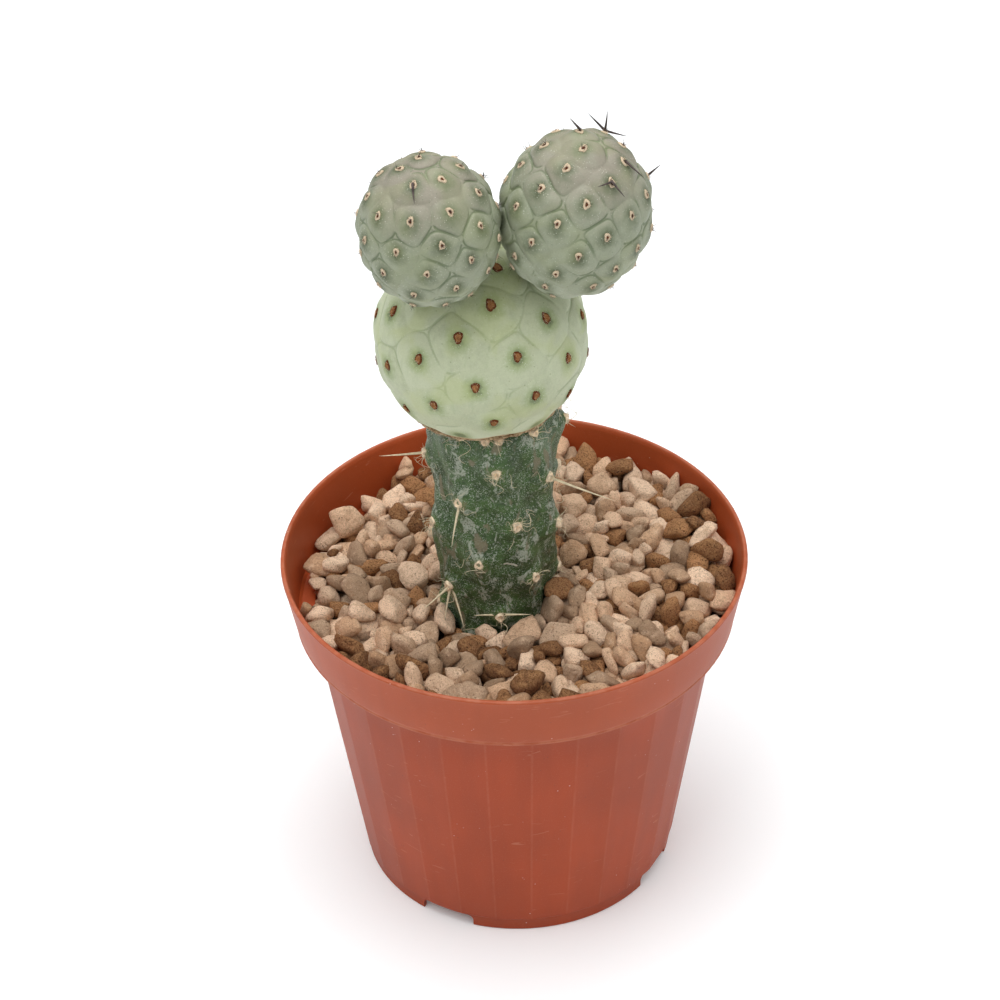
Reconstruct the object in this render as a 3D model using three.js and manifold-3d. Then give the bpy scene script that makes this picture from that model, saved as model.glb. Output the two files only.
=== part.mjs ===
// A potted grafted cactus: three round segments on a columnar rootstock, in a
// faceted plastic nursery pot filled with soil and topped with pumice gravel.
// Millimetres, +Z up, -Y is the front. The origin is the middle of the pot's
// underside, on the surface that the pot stands on.

import * as THREE from 'three';
import * as BufferGeometryUtils from 'three/addons/utils/BufferGeometryUtils.js';
import Module from 'manifold-3d';

const wasm = await Module();
wasm.setup();

// Driving dimensions

const GAP = 0.3; // clearance between neighbouring pieces
const WALL = 1.2; // thickness of the pot's moulded wall

// pot
const POT_HEIGHT = 83;
const RIM_RADIUS = 52.5; // outside, at the lip
const BAND_HEIGHT = 14.5; // plain band below the lip
const BAND_FOOT_RADIUS = 49.8; // outside, at the band's lower edge
const BODY_TOP_RADIUS = 46.4; // outside, under the band
const BODY_FOOT_RADIUS = 36.3; // outside, at the foot ring
const BODY_SIDES = 28; // flat facets round the body
const BODY_TURN = 4; // degrees from the front to the first facet edge
const LIP_ROUND = 0.4;
const FOOT_HEIGHT = 3.4; // underside of the base plate above the ground
const NOTCH_HEIGHT = 3;
const NOTCH_WIDTH = 13;
const NOTCH_CORNER = 1.4;
const NOTCH_COUNT = 4;
const NOTCH_TURN = -28; // degrees from the front to the first notch
const SLOT_LENGTH = 9; // drain slots in the base plate
const SLOT_WIDTH = 3.6;
const SLOT_RADIUS = 24;
const BASE_HOLE = 3.6; // diameter of the middle drain hole

// fillings
const HEADSPACE = 7.7; // from the lip down to the gravel on the pot's axis
const DRESSING_DEPTH = 17.3; // gravel over the soil
const GRAVEL_SLOPE_X = 0.068; // rise to the right, per millimetre
const GRAVEL_SLOPE_Y = 0.05; // rise to the back, per millimetre
const LOOSE_DEPTH = 5.2; // the uppermost stones, above the packed bed

// rootstock
const STEM_X = -4;
const STEM_Y = -3.2;
const STEM_RISE = 51.9; // cut face above the gravel
const BURIED_DEPTH = 45.3;
const STEM_TOP_RADIUS = 12.6; // flat cut face of the graft
const STEM_HEAD_RADIUS = 14.4; // widest place, just under the cut
const STEM_CHEST_RADIUS = 13.5; // slight swelling at mid height
const STEM_WAIST_RADIUS = 13; // between the swelling and the head
const STEM_NECK_RADIUS = 11.8; // where it leaves the gravel
const RIB_COUNT = 8;
const AREOLE_STEP = 15.6; // from one areole to the next down a rib
const RIB_TWIST = 17.5; // degrees that a rib turns over one step
const RIB_WRAP = 3; // steps by which the last rib has dropped when it meets the first
const FIRST_AREOLE_TURN = 1.9;
const FIRST_AREOLE_DROP = 8.9; // below the cut face
const ROOT_COUNT = 5;
const ROOT_RADIUS = 1.4;
const ROOT_REACH = 15;

// graft and segments
const CALLUS_THICKNESS = 0.8;
const CALLUS_OVERHANG = 0.6;
const LOWER_RADIUS = 22.8; // across
const LOWER_HALF_LENGTH = 22.2; // along the axis
const LOWER_X = -6.2;
const LOWER_CUT = 15.2; // centre of the lower segment above its cut face
const LEFT_RADIUS = 14.7;
const LEFT_HALF_LENGTH = 16.4;
const LEFT_TILT = 25.3; // of the line between centres, degrees from the vertical
const LEFT_HEADING = -126.3; // direction of lean, degrees from +X
const RIGHT_RADIUS = 15.4;
const RIGHT_HALF_LENGTH = 18.1;
const RIGHT_HEADING = -19.3;
const UPTURN = 0.65; // share of its tilt that a young segment's own axis takes back

// Areoles wind round an upper segment in one spiral. It has a count for the
// whole segment, a first turn, a divergence from one to the next, the lean of
// its pole about X and Y, and how far the first lies from the pole.
const LEFT_SPIRAL = { count: 55.5, first: 343.9, divergence: 132.5, leanX: -7.3, leanY: -15.3, offset: 0.05 };
const RIGHT_SPIRAL = { count: 60.3, first: 267.1, divergence: 139.4, leanX: -25.1, leanY: -20, offset: 0.17 };

// stones and spines
const STONE_COUNT = 35;
const SPIRAL_STEP = 137.508; // degrees between one stone of the spiral and the next
const SPINE_RADIUS = 0.35;
const THORN_RADIUS = 0.3;
const SPINE_SPREAD = 1.3; // spines of one areole start this far out from its middle
const THORN_SPREAD = 0.7;

const RAD = Math.PI / 180;

// Materials

const plastic = () => new THREE.MeshStandardMaterial({ color: 0xaa4e34, roughness: 0.5, metalness: 0 });
const earth = () => new THREE.MeshStandardMaterial({ color: 0x3a2a1e, roughness: 0.95, metalness: 0 });
const pumice = () => new THREE.MeshStandardMaterial({ color: 0xb39d7f, roughness: 0.9, metalness: 0 });
const lava = () => new THREE.MeshStandardMaterial({ color: 0x7c5236, roughness: 0.95, metalness: 0 });
const bark = () => new THREE.MeshStandardMaterial({ color: 0x2c4a2a, roughness: 0.6, metalness: 0 });
const cork = () => new THREE.MeshStandardMaterial({ color: 0xc9b68e, roughness: 0.9, metalness: 0 });
const paleSkin = () => new THREE.MeshStandardMaterial({ color: 0xa3b088, roughness: 0.6, metalness: 0 });
const greySkin = () => new THREE.MeshStandardMaterial({ color: 0x8b9580, roughness: 0.6, metalness: 0 });
const straw = () => new THREE.MeshStandardMaterial({ color: 0xe2d9bd, roughness: 0.6, metalness: 0 });
const thorn = () => new THREE.MeshStandardMaterial({ color: 0x4a3f42, roughness: 0.6, metalness: 0 });

// Geometry helpers

// One closed skin with shared vertices and no triangle of zero area
function welded(geometry) {
  const plain = geometry.clone();
  plain.deleteAttribute('normal');
  plain.deleteAttribute('uv');
  const merged = BufferGeometryUtils.mergeVertices(plain, 1e-4);
  const index = merged.index.array;
  const kept = [];
  for (let i = 0; i < index.length; i += 3) {
    const [a, b, c] = [index[i], index[i + 1], index[i + 2]];
    if (a !== b && b !== c && c !== a) {
      kept.push(a, b, c);
    }
  }
  merged.setIndex(kept);
  return merged;
}

function solid(geometry) {
  const skin = welded(geometry);
  const vertProperties = new Float32Array(skin.attributes.position.array);
  const triVerts = new Uint32Array(skin.index.array);
  return new wasm.Manifold(new wasm.Mesh({ numProp: 3, vertProperties, triVerts }));
}

function geometryOf(body) {
  const mesh = body.getMesh();
  const geometry = new THREE.BufferGeometry();
  geometry.setAttribute('position', new THREE.BufferAttribute(mesh.vertProperties, 3));
  geometry.setIndex(new THREE.BufferAttribute(mesh.triVerts, 1));
  geometry.computeVertexNormals();
  return geometry;
}

// A profile of [radius, z] points turned about Z. Angle 0 is the front and
// angles grow towards +X.
function turned(profile, sides, turn = 0) {
  const points = profile.map(([radius, z]) => new THREE.Vector2(radius, z));
  const geometry = new THREE.LatheGeometry(points, sides, turn * RAD);
  geometry.rotateX(Math.PI / 2);
  return geometry;
}

// The point at a radius and a turn from the front, at a height
function around(radius, turn, z) {
  return new THREE.Vector3(radius * Math.sin(turn * RAD), -radius * Math.cos(turn * RAD), z);
}

function mix(a, b, share) {
  return a + (b - a) * share;
}

// A repeatable number from 0 to 1 for a stone or spine
function scatter(seed) {
  const wave = Math.sin(seed * 127.1 + 311.7) * 43758.5453;
  return wave - Math.floor(wave);
}

// Sizes that follow from the driving ones

const BAND_FOOT = POT_HEIGHT - BAND_HEIGHT;
const BAND_SIDES = 3 * BODY_SIDES;
const FLOOR_TOP = FOOT_HEIGHT + WALL;
const GRAVEL_LEVEL = POT_HEIGHT - HEADSPACE;
const SOIL_TOP = GRAVEL_LEVEL - DRESSING_DEPTH;
const STEM_TOP = GRAVEL_LEVEL + STEM_RISE;
const STEM_TIP = GRAVEL_LEVEL - BURIED_DEPTH;
const ACROSS_FLATS = Math.cos(Math.PI / BODY_SIDES);
const gravelAt = (x, y) => GRAVEL_LEVEL + GRAVEL_SLOPE_X * x + GRAVEL_SLOPE_Y * y;
const bedAt = (x, y) => gravelAt(x, y) - LOOSE_DEPTH;
const bodyRadiusAt = (z) => mix(BODY_FOOT_RADIUS, BODY_TOP_RADIUS, z / BAND_FOOT);
const bandRadiusAt = (z) => mix(BAND_FOOT_RADIUS, RIM_RADIUS, (z - BAND_FOOT) / BAND_HEIGHT);

// Pot

function makePot() {
  const band = solid(turned([
    [0, BAND_FOOT],
    [BAND_FOOT_RADIUS, BAND_FOOT],
    [RIM_RADIUS, POT_HEIGHT - LIP_ROUND],
    [RIM_RADIUS - LIP_ROUND, POT_HEIGHT],
    [0, POT_HEIGHT],
  ], BAND_SIDES));
  const body = solid(turned([
    [0, FOOT_HEIGHT],
    [bodyRadiusAt(FOOT_HEIGHT), FOOT_HEIGHT],
    [bodyRadiusAt(BAND_FOOT), BAND_FOOT],
    [0, BAND_FOOT + WALL],
  ], BODY_SIDES, BODY_TURN));
  const footRadius = BODY_FOOT_RADIUS * ACROSS_FLATS;
  const foot = solid(turned([
    [footRadius - WALL, 0],
    [footRadius, 0],
    [footRadius, FOOT_HEIGHT + WALL / 2],
    [footRadius - WALL, FOOT_HEIGHT + WALL / 2],
    [footRadius - WALL, 0],
  ], BAND_SIDES));
  let pot = band.add(body).subtract(cavity(0)).add(foot);

  for (let i = 0; i < NOTCH_COUNT; i += 1) {
    const turn = NOTCH_TURN + (360 / NOTCH_COUNT) * i;
    pot = pot.subtract(solid(notchCutter(footRadius, turn)));
    pot = pot.subtract(solid(slotCutter(turn)));
  }
  const hole = turned([
    [0, FOOT_HEIGHT - WALL],
    [BASE_HOLE / 2, FOOT_HEIGHT - WALL],
    [BASE_HOLE / 2, FLOOR_TOP + WALL],
    [0, FLOOR_TOP + WALL],
  ], 12);
  return geometryOf(pot.subtract(solid(hole)));
}

// The space inside the pot, drawn in from its wall by a clearance
function cavity(clearance) {
  const inset = WALL + clearance;
  const body = solid(turned([
    [0, FLOOR_TOP + clearance],
    [bodyRadiusAt(FLOOR_TOP) - inset, FLOOR_TOP + clearance],
    [bodyRadiusAt(BAND_FOOT) - inset, BAND_FOOT + inset],
    [0, BAND_FOOT + inset + WALL],
  ], BODY_SIDES, BODY_TURN));
  const band = solid(turned([
    [0, BAND_FOOT + inset],
    [bandRadiusAt(BAND_FOOT) - inset, BAND_FOOT + inset],
    [bandRadiusAt(POT_HEIGHT) - inset, POT_HEIGHT],
    [bandRadiusAt(POT_HEIGHT) - inset, POT_HEIGHT + WALL],
    [0, POT_HEIGHT + WALL],
  ], BAND_SIDES));
  return body.add(band);
}

// A round-shouldered gap in the foot ring
function notchCutter(footRadius, turn) {
  const half = NOTCH_WIDTH / 2;
  const shape = new THREE.Shape();
  shape.moveTo(-half, -WALL);
  shape.lineTo(half, -WALL);
  shape.lineTo(half, NOTCH_HEIGHT - NOTCH_CORNER);
  shape.absarc(half - NOTCH_CORNER, NOTCH_HEIGHT - NOTCH_CORNER, NOTCH_CORNER, 0, Math.PI / 2, false);
  shape.absarc(NOTCH_CORNER - half, NOTCH_HEIGHT - NOTCH_CORNER, NOTCH_CORNER, Math.PI / 2, Math.PI, false);
  shape.closePath();
  const reach = 6 * WALL;
  const geometry = new THREE.ExtrudeGeometry(shape, { depth: reach, bevelEnabled: false, curveSegments: 4 });
  geometry.rotateX(Math.PI / 2);
  geometry.translate(0, reach / 2 - footRadius, 0);
  geometry.rotateZ(turn * RAD);
  return geometry;
}

// A drain slot through the base plate, long across the notch's direction
function slotCutter(turn) {
  const run = (SLOT_LENGTH - SLOT_WIDTH) / 2;
  const end = SLOT_WIDTH / 2;
  const shape = new THREE.Shape();
  shape.moveTo(-run, -end);
  shape.lineTo(run, -end);
  shape.absarc(run, 0, end, -Math.PI / 2, Math.PI / 2, false);
  shape.absarc(-run, 0, end, Math.PI / 2, 1.5 * Math.PI, false);
  const depth = 3 * WALL;
  const geometry = new THREE.ExtrudeGeometry(shape, { depth, bevelEnabled: false, curveSegments: 5 });
  geometry.translate(0, -SLOT_RADIUS, FOOT_HEIGHT - WALL);
  geometry.rotateZ(turn * RAD);
  return geometry;
}

// Rootstock

// The column's outline from its buried tip to the cut face, grown by a clearance
function stemProfile(clearance) {
  const neck = GRAVEL_LEVEL;
  const height = STEM_TOP - neck;
  return [
    [0, STEM_TIP - clearance],
    [STEM_NECK_RADIUS * 0.22 + clearance, STEM_TIP - clearance],
    [STEM_NECK_RADIUS * 0.5 + clearance, mix(STEM_TIP, neck, 0.3)],
    [STEM_NECK_RADIUS * 0.85 + clearance, mix(STEM_TIP, neck, 0.7)],
    [STEM_NECK_RADIUS + clearance, neck],
    [mix(STEM_NECK_RADIUS, STEM_CHEST_RADIUS, 0.7) + clearance, neck + height * 0.2],
    [STEM_CHEST_RADIUS + clearance, neck + height * 0.4],
    [STEM_WAIST_RADIUS + clearance, neck + height * 0.58],
    [mix(STEM_WAIST_RADIUS, STEM_HEAD_RADIUS, 0.6) + clearance, neck + height * 0.78],
    [STEM_HEAD_RADIUS + clearance, neck + height * 0.9],
    [mix(STEM_HEAD_RADIUS, STEM_TOP_RADIUS, 0.35) + clearance, neck + height * 0.965],
    [STEM_TOP_RADIUS + clearance, STEM_TOP + clearance],
    [0, STEM_TOP + clearance],
  ];
}

// The stem's radius at a height above the gravel
function stemRadiusAt(z) {
  const outline = stemProfile(0).slice(1, -1);
  const next = outline.findIndex(([, height]) => height >= z);
  const [lowRadius, low] = outline[next - 1];
  const [highRadius, high] = outline[next];
  return mix(lowRadius, highRadius, (z - low) / (high - low));
}

// A round tube along a curve through the given points
function tube(points, radius, sides) {
  const ring = new THREE.Shape();
  for (let i = 0; i < sides; i += 1) {
    const angle = (2 * Math.PI * i) / sides;
    const [x, y] = [radius * Math.cos(angle), radius * Math.sin(angle)];
    if (i === 0) {
      ring.moveTo(x, y);
    } else {
      ring.lineTo(x, y);
    }
  }
  const extrudePath = new THREE.CatmullRomCurve3(points);
  return new THREE.ExtrudeGeometry(ring, { extrudePath, steps: 2 * points.length, bevelEnabled: false });
}

// The stem with its roots. The same body, grown by a clearance, hollows the
// soil and the gravel round it.
function stemSolid(clearance) {
  let body = solid(turned(stemProfile(clearance), 36));
  const crown = mix(STEM_TIP, SOIL_TOP, 0.5);
  for (let i = 0; i < ROOT_COUNT; i += 1) {
    const turn = (360 / ROOT_COUNT) * (i + 0.35 * scatter(i));
    const drop = ROOT_REACH * (0.6 + 0.3 * scatter(i + 9));
    const points = [
      around(STEM_NECK_RADIUS * 0.3, turn, crown),
      around(ROOT_REACH * 0.55, turn + 8, crown - drop * 0.3),
      around(ROOT_REACH * 0.85, turn + 4, crown - drop * 0.7),
      around(ROOT_REACH + clearance, turn + 14, crown - drop - clearance),
    ];
    body = body.add(solid(tube(points, ROOT_RADIUS + clearance, 8)));
  }
  return body.translate([STEM_X, STEM_Y, 0]);
}

// Fillings

function makeSoil() {
  const ceiling = solid(slabAbove(() => SOIL_TOP));
  return geometryOf(cavity(GAP).subtract(ceiling).subtract(stemSolid(GAP)));
}

function makeBed() {
  const ceiling = solid(slabAbove(bedAt));
  const floor = solid(turned([
    [0, 0],
    [2 * RIM_RADIUS, 0],
    [2 * RIM_RADIUS, SOIL_TOP + GAP],
    [0, SOIL_TOP + GAP],
  ], 4));
  return geometryOf(cavity(GAP).subtract(ceiling).subtract(floor).subtract(stemSolid(GAP)));
}

// Everything above a surface given by its height over x and y
function slabAbove(heightAt) {
  const side = 4 * RIM_RADIUS;
  const geometry = new THREE.BoxGeometry(side, side, POT_HEIGHT * 2);
  const position = geometry.attributes.position;
  for (let i = 0; i < position.count; i += 1) {
    const [x, y] = [position.getX(i), position.getY(i)];
    const top = position.getZ(i) > 0;
    position.setZ(i, top ? POT_HEIGHT * 3 : heightAt(x, y));
  }
  return geometry;
}

// Segments

const UP = new THREE.Vector3(0, 0, 1);

function leaning(tilt, heading) {
  const flat = Math.sin(tilt * RAD);
  const [x, y] = [flat * Math.cos(heading * RAD), flat * Math.sin(heading * RAD)];
  return new THREE.Vector3(x, y, Math.cos(tilt * RAD));
}

// Distance from a spheroid's centre to the plane that touches it square to a direction
function support(segment, direction) {
  const along = segment.axis.dot(direction);
  const across = 1 - along * along;
  return Math.sqrt(segment.radius ** 2 * across + segment.halfLength ** 2 * along * along);
}

function touchingDistance(a, b, direction) {
  return support(a, direction) + GAP + support(b, direction);
}

// A segment seated on another one in the given direction, turned up towards the light
function grownFrom(parent, radius, halfLength, tilt, heading) {
  const direction = leaning(tilt, heading);
  const segment = { radius, halfLength, axis: leaning(tilt * (1 - UPTURN), heading) };
  const distance = touchingDistance(parent, segment, direction);
  segment.centre = parent.centre.clone().addScaledVector(direction, distance);
  return segment;
}

const callusTop = STEM_TOP + GAP + CALLUS_THICKNESS;
const lower = {
  radius: LOWER_RADIUS,
  halfLength: LOWER_HALF_LENGTH,
  axis: UP,
  centre: new THREE.Vector3(LOWER_X, STEM_Y, callusTop + GAP + LOWER_CUT),
};
const left = grownFrom(lower, LEFT_RADIUS, LEFT_HALF_LENGTH, LEFT_TILT, LEFT_HEADING);

// The right segment leans away from the left one until they just touch
function findRight() {
  let [near, far] = [0, 90];
  for (let i = 0; i < 40; i += 1) {
    const tilt = (near + far) / 2;
    const segment = grownFrom(lower, RIGHT_RADIUS, RIGHT_HALF_LENGTH, tilt, RIGHT_HEADING);
    const between = segment.centre.clone().sub(left.centre);
    const distance = between.length();
    const enough = touchingDistance(left, segment, between.normalize());
    if (distance < enough) {
      near = tilt;
    } else {
      far = tilt;
    }
  }
  return grownFrom(lower, RIGHT_RADIUS, RIGHT_HALF_LENGTH, far, RIGHT_HEADING);
}

const right = findRight();

// A spheroid with its poles on its axis, cut flat below where a cut is given
function segmentGeometry(segment, cut = segment.halfLength) {
  const { radius, halfLength } = segment;
  const rings = 16;
  const start = Math.asin(-cut / halfLength);
  const profile = [];
  for (let i = 0; i <= rings; i += 1) {
    const angle = mix(start, Math.PI / 2, i / rings);
    profile.push([i === rings ? 0 : radius * Math.cos(angle), halfLength * Math.sin(angle)]);
  }
  if (cut < halfLength) {
    profile.unshift([0, -cut]);
  } else {
    profile[0][0] = 0;
  }
  return turned(profile, 32);
}

// Stones

// A rounded, uneven pebble with the given length, width and thickness
function stoneGeometry(length, width, thickness, seed) {
  const geometry = welded(new THREE.IcosahedronGeometry(0.5, 1));
  const position = geometry.attributes.position;
  const point = new THREE.Vector3();
  for (let i = 0; i < position.count; i += 1) {
    point.fromBufferAttribute(position, i);
    const lump = 1 + 0.07 * Math.sin(5 * point.x + seed) + 0.06 * Math.sin(6 * point.y + 2 * seed);
    const chip = 1 - 0.09 * scatter(seed * 31 + i);
    point.multiplyScalar(lump * chip);
    position.setXYZ(i, point.x * length, point.y * width, point.z * thickness);
  }
  return geometry;
}

// The large stones that lie where they were put: x, y, length, width,
// thickness, turn about Z in degrees, and whether it is lava
const CHOSEN_STONES = [
  [8.9, -20.4, 10.2, 7, 6, 10, false],
  [13.6, -8.6, 9, 6.5, 6, 20, false],
  [-19.6, -15.4, 8.5, 6.8, 6, 60, false],
  [17.4, 15.8, 8.4, 7.6, 6.5, 0, false],
  [14.6, 44, 10, 6.4, 6, -25, false],
  [30.6, 20.4, 8.4, 5.4, 5.4, -5, false],
  [27.8, 31.2, 7.4, 6.4, 6, 70, false],
  [-38.6, 12.6, 8, 6.2, 6, 5, false],
  [-40.4, -10.2, 7.4, 7, 6, 70, false],
  [-35.4, -21, 8, 6, 5.6, -35, false],
  [-22, -23.6, 8.8, 6.4, 6, 30, false],
  [9.6, -30.4, 8, 6.6, 6, 15, true],
  [27.2, -3.4, 9, 5.2, 5.4, 0, false],
  [31.4, -14.6, 6, 5.4, 5.4, 40, true],
];

// Stones lie on the bed, clear of the stem, the wall and each other
function layStones() {
  const stones = [];
  const isClear = (x, y, reach) => {
    const fromStem = Math.hypot(x - STEM_X, y - STEM_Y);
    const wall = cavityRadius(bedAt(x, y));
    return fromStem > STEM_NECK_RADIUS + reach + GAP
      && Math.hypot(x, y) < wall - reach - GAP
      && stones.every((other) => Math.hypot(x - other.x, y - other.y) > other.reach + reach + GAP);
  };
  const lay = (x, y, length, width, thickness, turn, isLava) => {
    const reach = 0.56 * length;
    if (isClear(x, y, reach)) {
      stones.push({ x, y, length, width, thickness, turn, isLava, reach });
    }
  };
  CHOSEN_STONES.forEach((stone) => lay(...stone));
  for (let i = 1; i < 900 && stones.length < STONE_COUNT; i += 1) {
    const radius = RIM_RADIUS * Math.sqrt(scatter(i));
    const place = around(radius, SPIRAL_STEP * i, 0);
    const length = 6 + 2.5 * scatter(i + 50);
    const width = length * (0.7 + 0.2 * scatter(i + 70));
    const thickness = Math.min(width, 4.6 + 1.2 * scatter(i + 90));
    lay(place.x, place.y, length, width, thickness, 360 * scatter(i + 20), scatter(i + 30) > 0.8);
  }
  return stones;
}

// Inside radius of the pot at a height, across the body's flats
function cavityRadius(z) {
  const inBody = z < BAND_FOOT + WALL;
  return inBody ? bodyRadiusAt(z) * ACROSS_FLATS - WALL : bandRadiusAt(z) - WALL;
}

// Spines

// A slender straight cone from a base point along a direction
function spineGeometry(length, radius) {
  return turned([
    [0, 0],
    [radius, 0],
    [radius * 0.55, length * 0.6],
    [0, length],
  ], 6);
}

// Stem spines: rib, areole down the rib, turn and rise of the spine, length
const STEM_SPINES = [
  [1, 0, 57, 0, 15.8],
  [-2, 1, -88, -3, 9.4],
  [-1, 1, -32, -68, 9.5],
  [-2, 3, -64, -32, 7],
  [-2, 3, -24, -62, 7],
  [-2, 3, 28, -56, 9],
  [-1, 3, -72, 14, 5],
  [-1, 3, 72, 14, 6.2],
];

// Thorns: areole of the spiral, turn and rise of the thorn, length
const RIGHT_THORNS = [
  [1, -90, 52, 2.8],
  [4, -90, 50, 4.8],
  [4, 80, 84, 4],
  [4, 90, -18, 4.1],
  [22, 90, 44, 2.9],
  [14, 45, -20, 4.6],
  [19, -50, 5, 3.2],
  [19, 35, -20, 3.9],
];
const LEFT_THORNS = [
  [3, 5, -35, 3.7],
];

// The areole of a rib: its turn from the front, and its height
function ribAreole(rib, step) {
  const turn = FIRST_AREOLE_TURN + (rib * (360 + RIB_WRAP * RIB_TWIST)) / RIB_COUNT + step * RIB_TWIST;
  const drop = FIRST_AREOLE_DROP + AREOLE_STEP * ((rib * RIB_WRAP) / RIB_COUNT + step);
  return { turn, z: STEM_TOP - drop };
}

// An areole of a spiral, as a direction from the middle of an upright segment
function spiralAreole(spiral, index) {
  const height = 1 - (2 * (index + spiral.offset)) / spiral.count;
  const place = around(Math.sqrt(1 - height * height), spiral.first + index * spiral.divergence, height);
  place.applyAxisAngle(new THREE.Vector3(1, 0, 0), spiral.leanX * RAD);
  return place.applyAxisAngle(new THREE.Vector3(0, 1, 0), spiral.leanY * RAD);
}

function directionOf(turn, rise) {
  const flat = Math.cos(rise * RAD);
  return around(flat, turn, Math.sin(rise * RAD));
}

// Assembly

const group = new THREE.Group();

function place(name, geometry, material) {
  const mesh = new THREE.Mesh(geometry, material);
  mesh.name = name;
  group.add(mesh);
  return mesh;
}

function pointAlong(mesh, base, direction) {
  mesh.position.copy(base);
  mesh.quaternion.setFromUnitVectors(UP, direction.clone().normalize());
}

place('pot', makePot(), plastic());
place('potting_soil', makeSoil(), earth());
place('gravel_bed', makeBed(), pumice());
place('rootstock_stem', geometryOf(stemSolid(0)), bark());

const callusRadius = STEM_TOP_RADIUS + CALLUS_OVERHANG;
const callus = place('graft_callus', turned([
  [0, 0],
  [callusRadius, 0],
  [callusRadius, CALLUS_THICKNESS],
  [0, CALLUS_THICKNESS],
], 36), cork());
callus.position.set(STEM_X, STEM_Y, STEM_TOP + GAP);

const lowerMesh = place('scion_lower_segment', segmentGeometry(lower, LOWER_CUT), paleSkin());
lowerMesh.position.copy(lower.centre);
for (const [name, segment] of [['scion_left_segment', left], ['scion_right_segment', right]]) {
  pointAlong(place(name, segmentGeometry(segment), greySkin()), segment.centre, segment.axis);
}

const counts = { pumice_stone: 0, lava_stone: 0 };
layStones().forEach((stone, i) => {
  const kind = stone.isLava ? 'lava_stone' : 'pumice_stone';
  counts[kind] += 1;
  const name = `${kind}_${String(counts[kind]).padStart(2, '0')}`;
  const geometry = stoneGeometry(stone.length, stone.width, stone.thickness, i + 1);
  geometry.rotateZ(stone.turn * RAD);
  const mesh = place(name, geometry, stone.isLava ? lava() : pumice());
  const rest = 0.5 * stone.thickness * 1.13 + 0.5 * stone.length * GRAVEL_SLOPE_X + GAP;
  mesh.position.set(stone.x, stone.y, bedAt(stone.x, stone.y) + rest);
});

STEM_SPINES.forEach(([rib, step, heading, rise, length], i) => {
  const mesh = place(`stem_spine_${i + 1}`, spineGeometry(length, SPINE_RADIUS), straw());
  const { turn, z } = ribAreole(rib, step);
  const direction = directionOf(heading, rise);
  const base = around(stemRadiusAt(z) + GAP + SPINE_RADIUS, turn, z);
  base.addScaledVector(direction, SPINE_SPREAD);
  base.x += STEM_X;
  base.y += STEM_Y;
  pointAlong(mesh, base, direction);
});

// The thorns stand just clear of a segment's skin
function placeThorns(prefix, segment, spiral, thorns) {
  const turnToAxis = new THREE.Quaternion().setFromUnitVectors(UP, segment.axis);
  const halves = new THREE.Vector3(segment.radius, segment.radius, segment.halfLength);
  thorns.forEach(([index, heading, rise, length], i) => {
    const onUnit = spiralAreole(spiral, index);
    const normal = onUnit.clone().divide(halves).normalize();
    const skin = onUnit.multiply(halves).addScaledVector(normal, GAP + THORN_RADIUS);
    const direction = directionOf(heading, rise);
    const base = skin.applyQuaternion(turnToAxis).add(segment.centre);
    base.addScaledVector(direction, THORN_SPREAD);
    const mesh = place(`${prefix}_${i + 1}`, spineGeometry(length, THORN_RADIUS), thorn());
    pointAlong(mesh, base, direction);
  });
}

placeThorns('right_thorn', right, RIGHT_SPIRAL, RIGHT_THORNS);
placeThorns('left_thorn', left, LEFT_SPIRAL, LEFT_THORNS);

export default group;
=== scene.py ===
"""A potted grafted cactus, finished round its packed CAD frame.

Lengths inside the functions are in millimetres, in the frame of the part: +Z up, -Y the front,
and the origin in the middle of the pot's underside. They become metres where a mesh is made.
"""

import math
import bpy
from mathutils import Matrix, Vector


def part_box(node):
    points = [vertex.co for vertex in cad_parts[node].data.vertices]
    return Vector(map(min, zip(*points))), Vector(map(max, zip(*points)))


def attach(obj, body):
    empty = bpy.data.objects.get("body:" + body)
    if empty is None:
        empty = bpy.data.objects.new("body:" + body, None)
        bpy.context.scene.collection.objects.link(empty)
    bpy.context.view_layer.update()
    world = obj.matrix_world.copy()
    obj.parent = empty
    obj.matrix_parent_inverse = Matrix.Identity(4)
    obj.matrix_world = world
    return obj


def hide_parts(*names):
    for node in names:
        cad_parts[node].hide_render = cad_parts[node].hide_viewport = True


bl_info = {
    "name": "Potted Grafted Cactus",
    "version": (1, 0, 0),
    "blender": (4, 5, 0),
    "location": "View3D > Sidebar > Cactus",
    "description": "Builds the pot, gravel, rootstock, segments and spines of a grafted cactus",
    "category": "Object",
}

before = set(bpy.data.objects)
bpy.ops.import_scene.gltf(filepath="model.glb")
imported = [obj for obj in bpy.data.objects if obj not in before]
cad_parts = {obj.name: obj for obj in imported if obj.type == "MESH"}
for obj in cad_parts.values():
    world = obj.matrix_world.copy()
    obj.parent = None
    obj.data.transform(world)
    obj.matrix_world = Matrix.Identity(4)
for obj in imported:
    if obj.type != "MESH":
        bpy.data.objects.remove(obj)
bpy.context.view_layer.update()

import bmesh
import bpy
import numpy as np
from bpy.props import FloatProperty, FloatVectorProperty, IntProperty, PointerProperty
from mathutils import Euler, Matrix, Vector, noise

MM = 0.001
UP = np.array([0.0, 0.0, 1.0])
FOOT_OF_STEM = 61.0  # where the ribbed column begins, under the gravel
SCAR_HEIGHT = 91.5  # an old scratch across the front ribs
SCAR_TURN = math.radians(14)


# ---------------------------------------------------------------- shader tools


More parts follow.
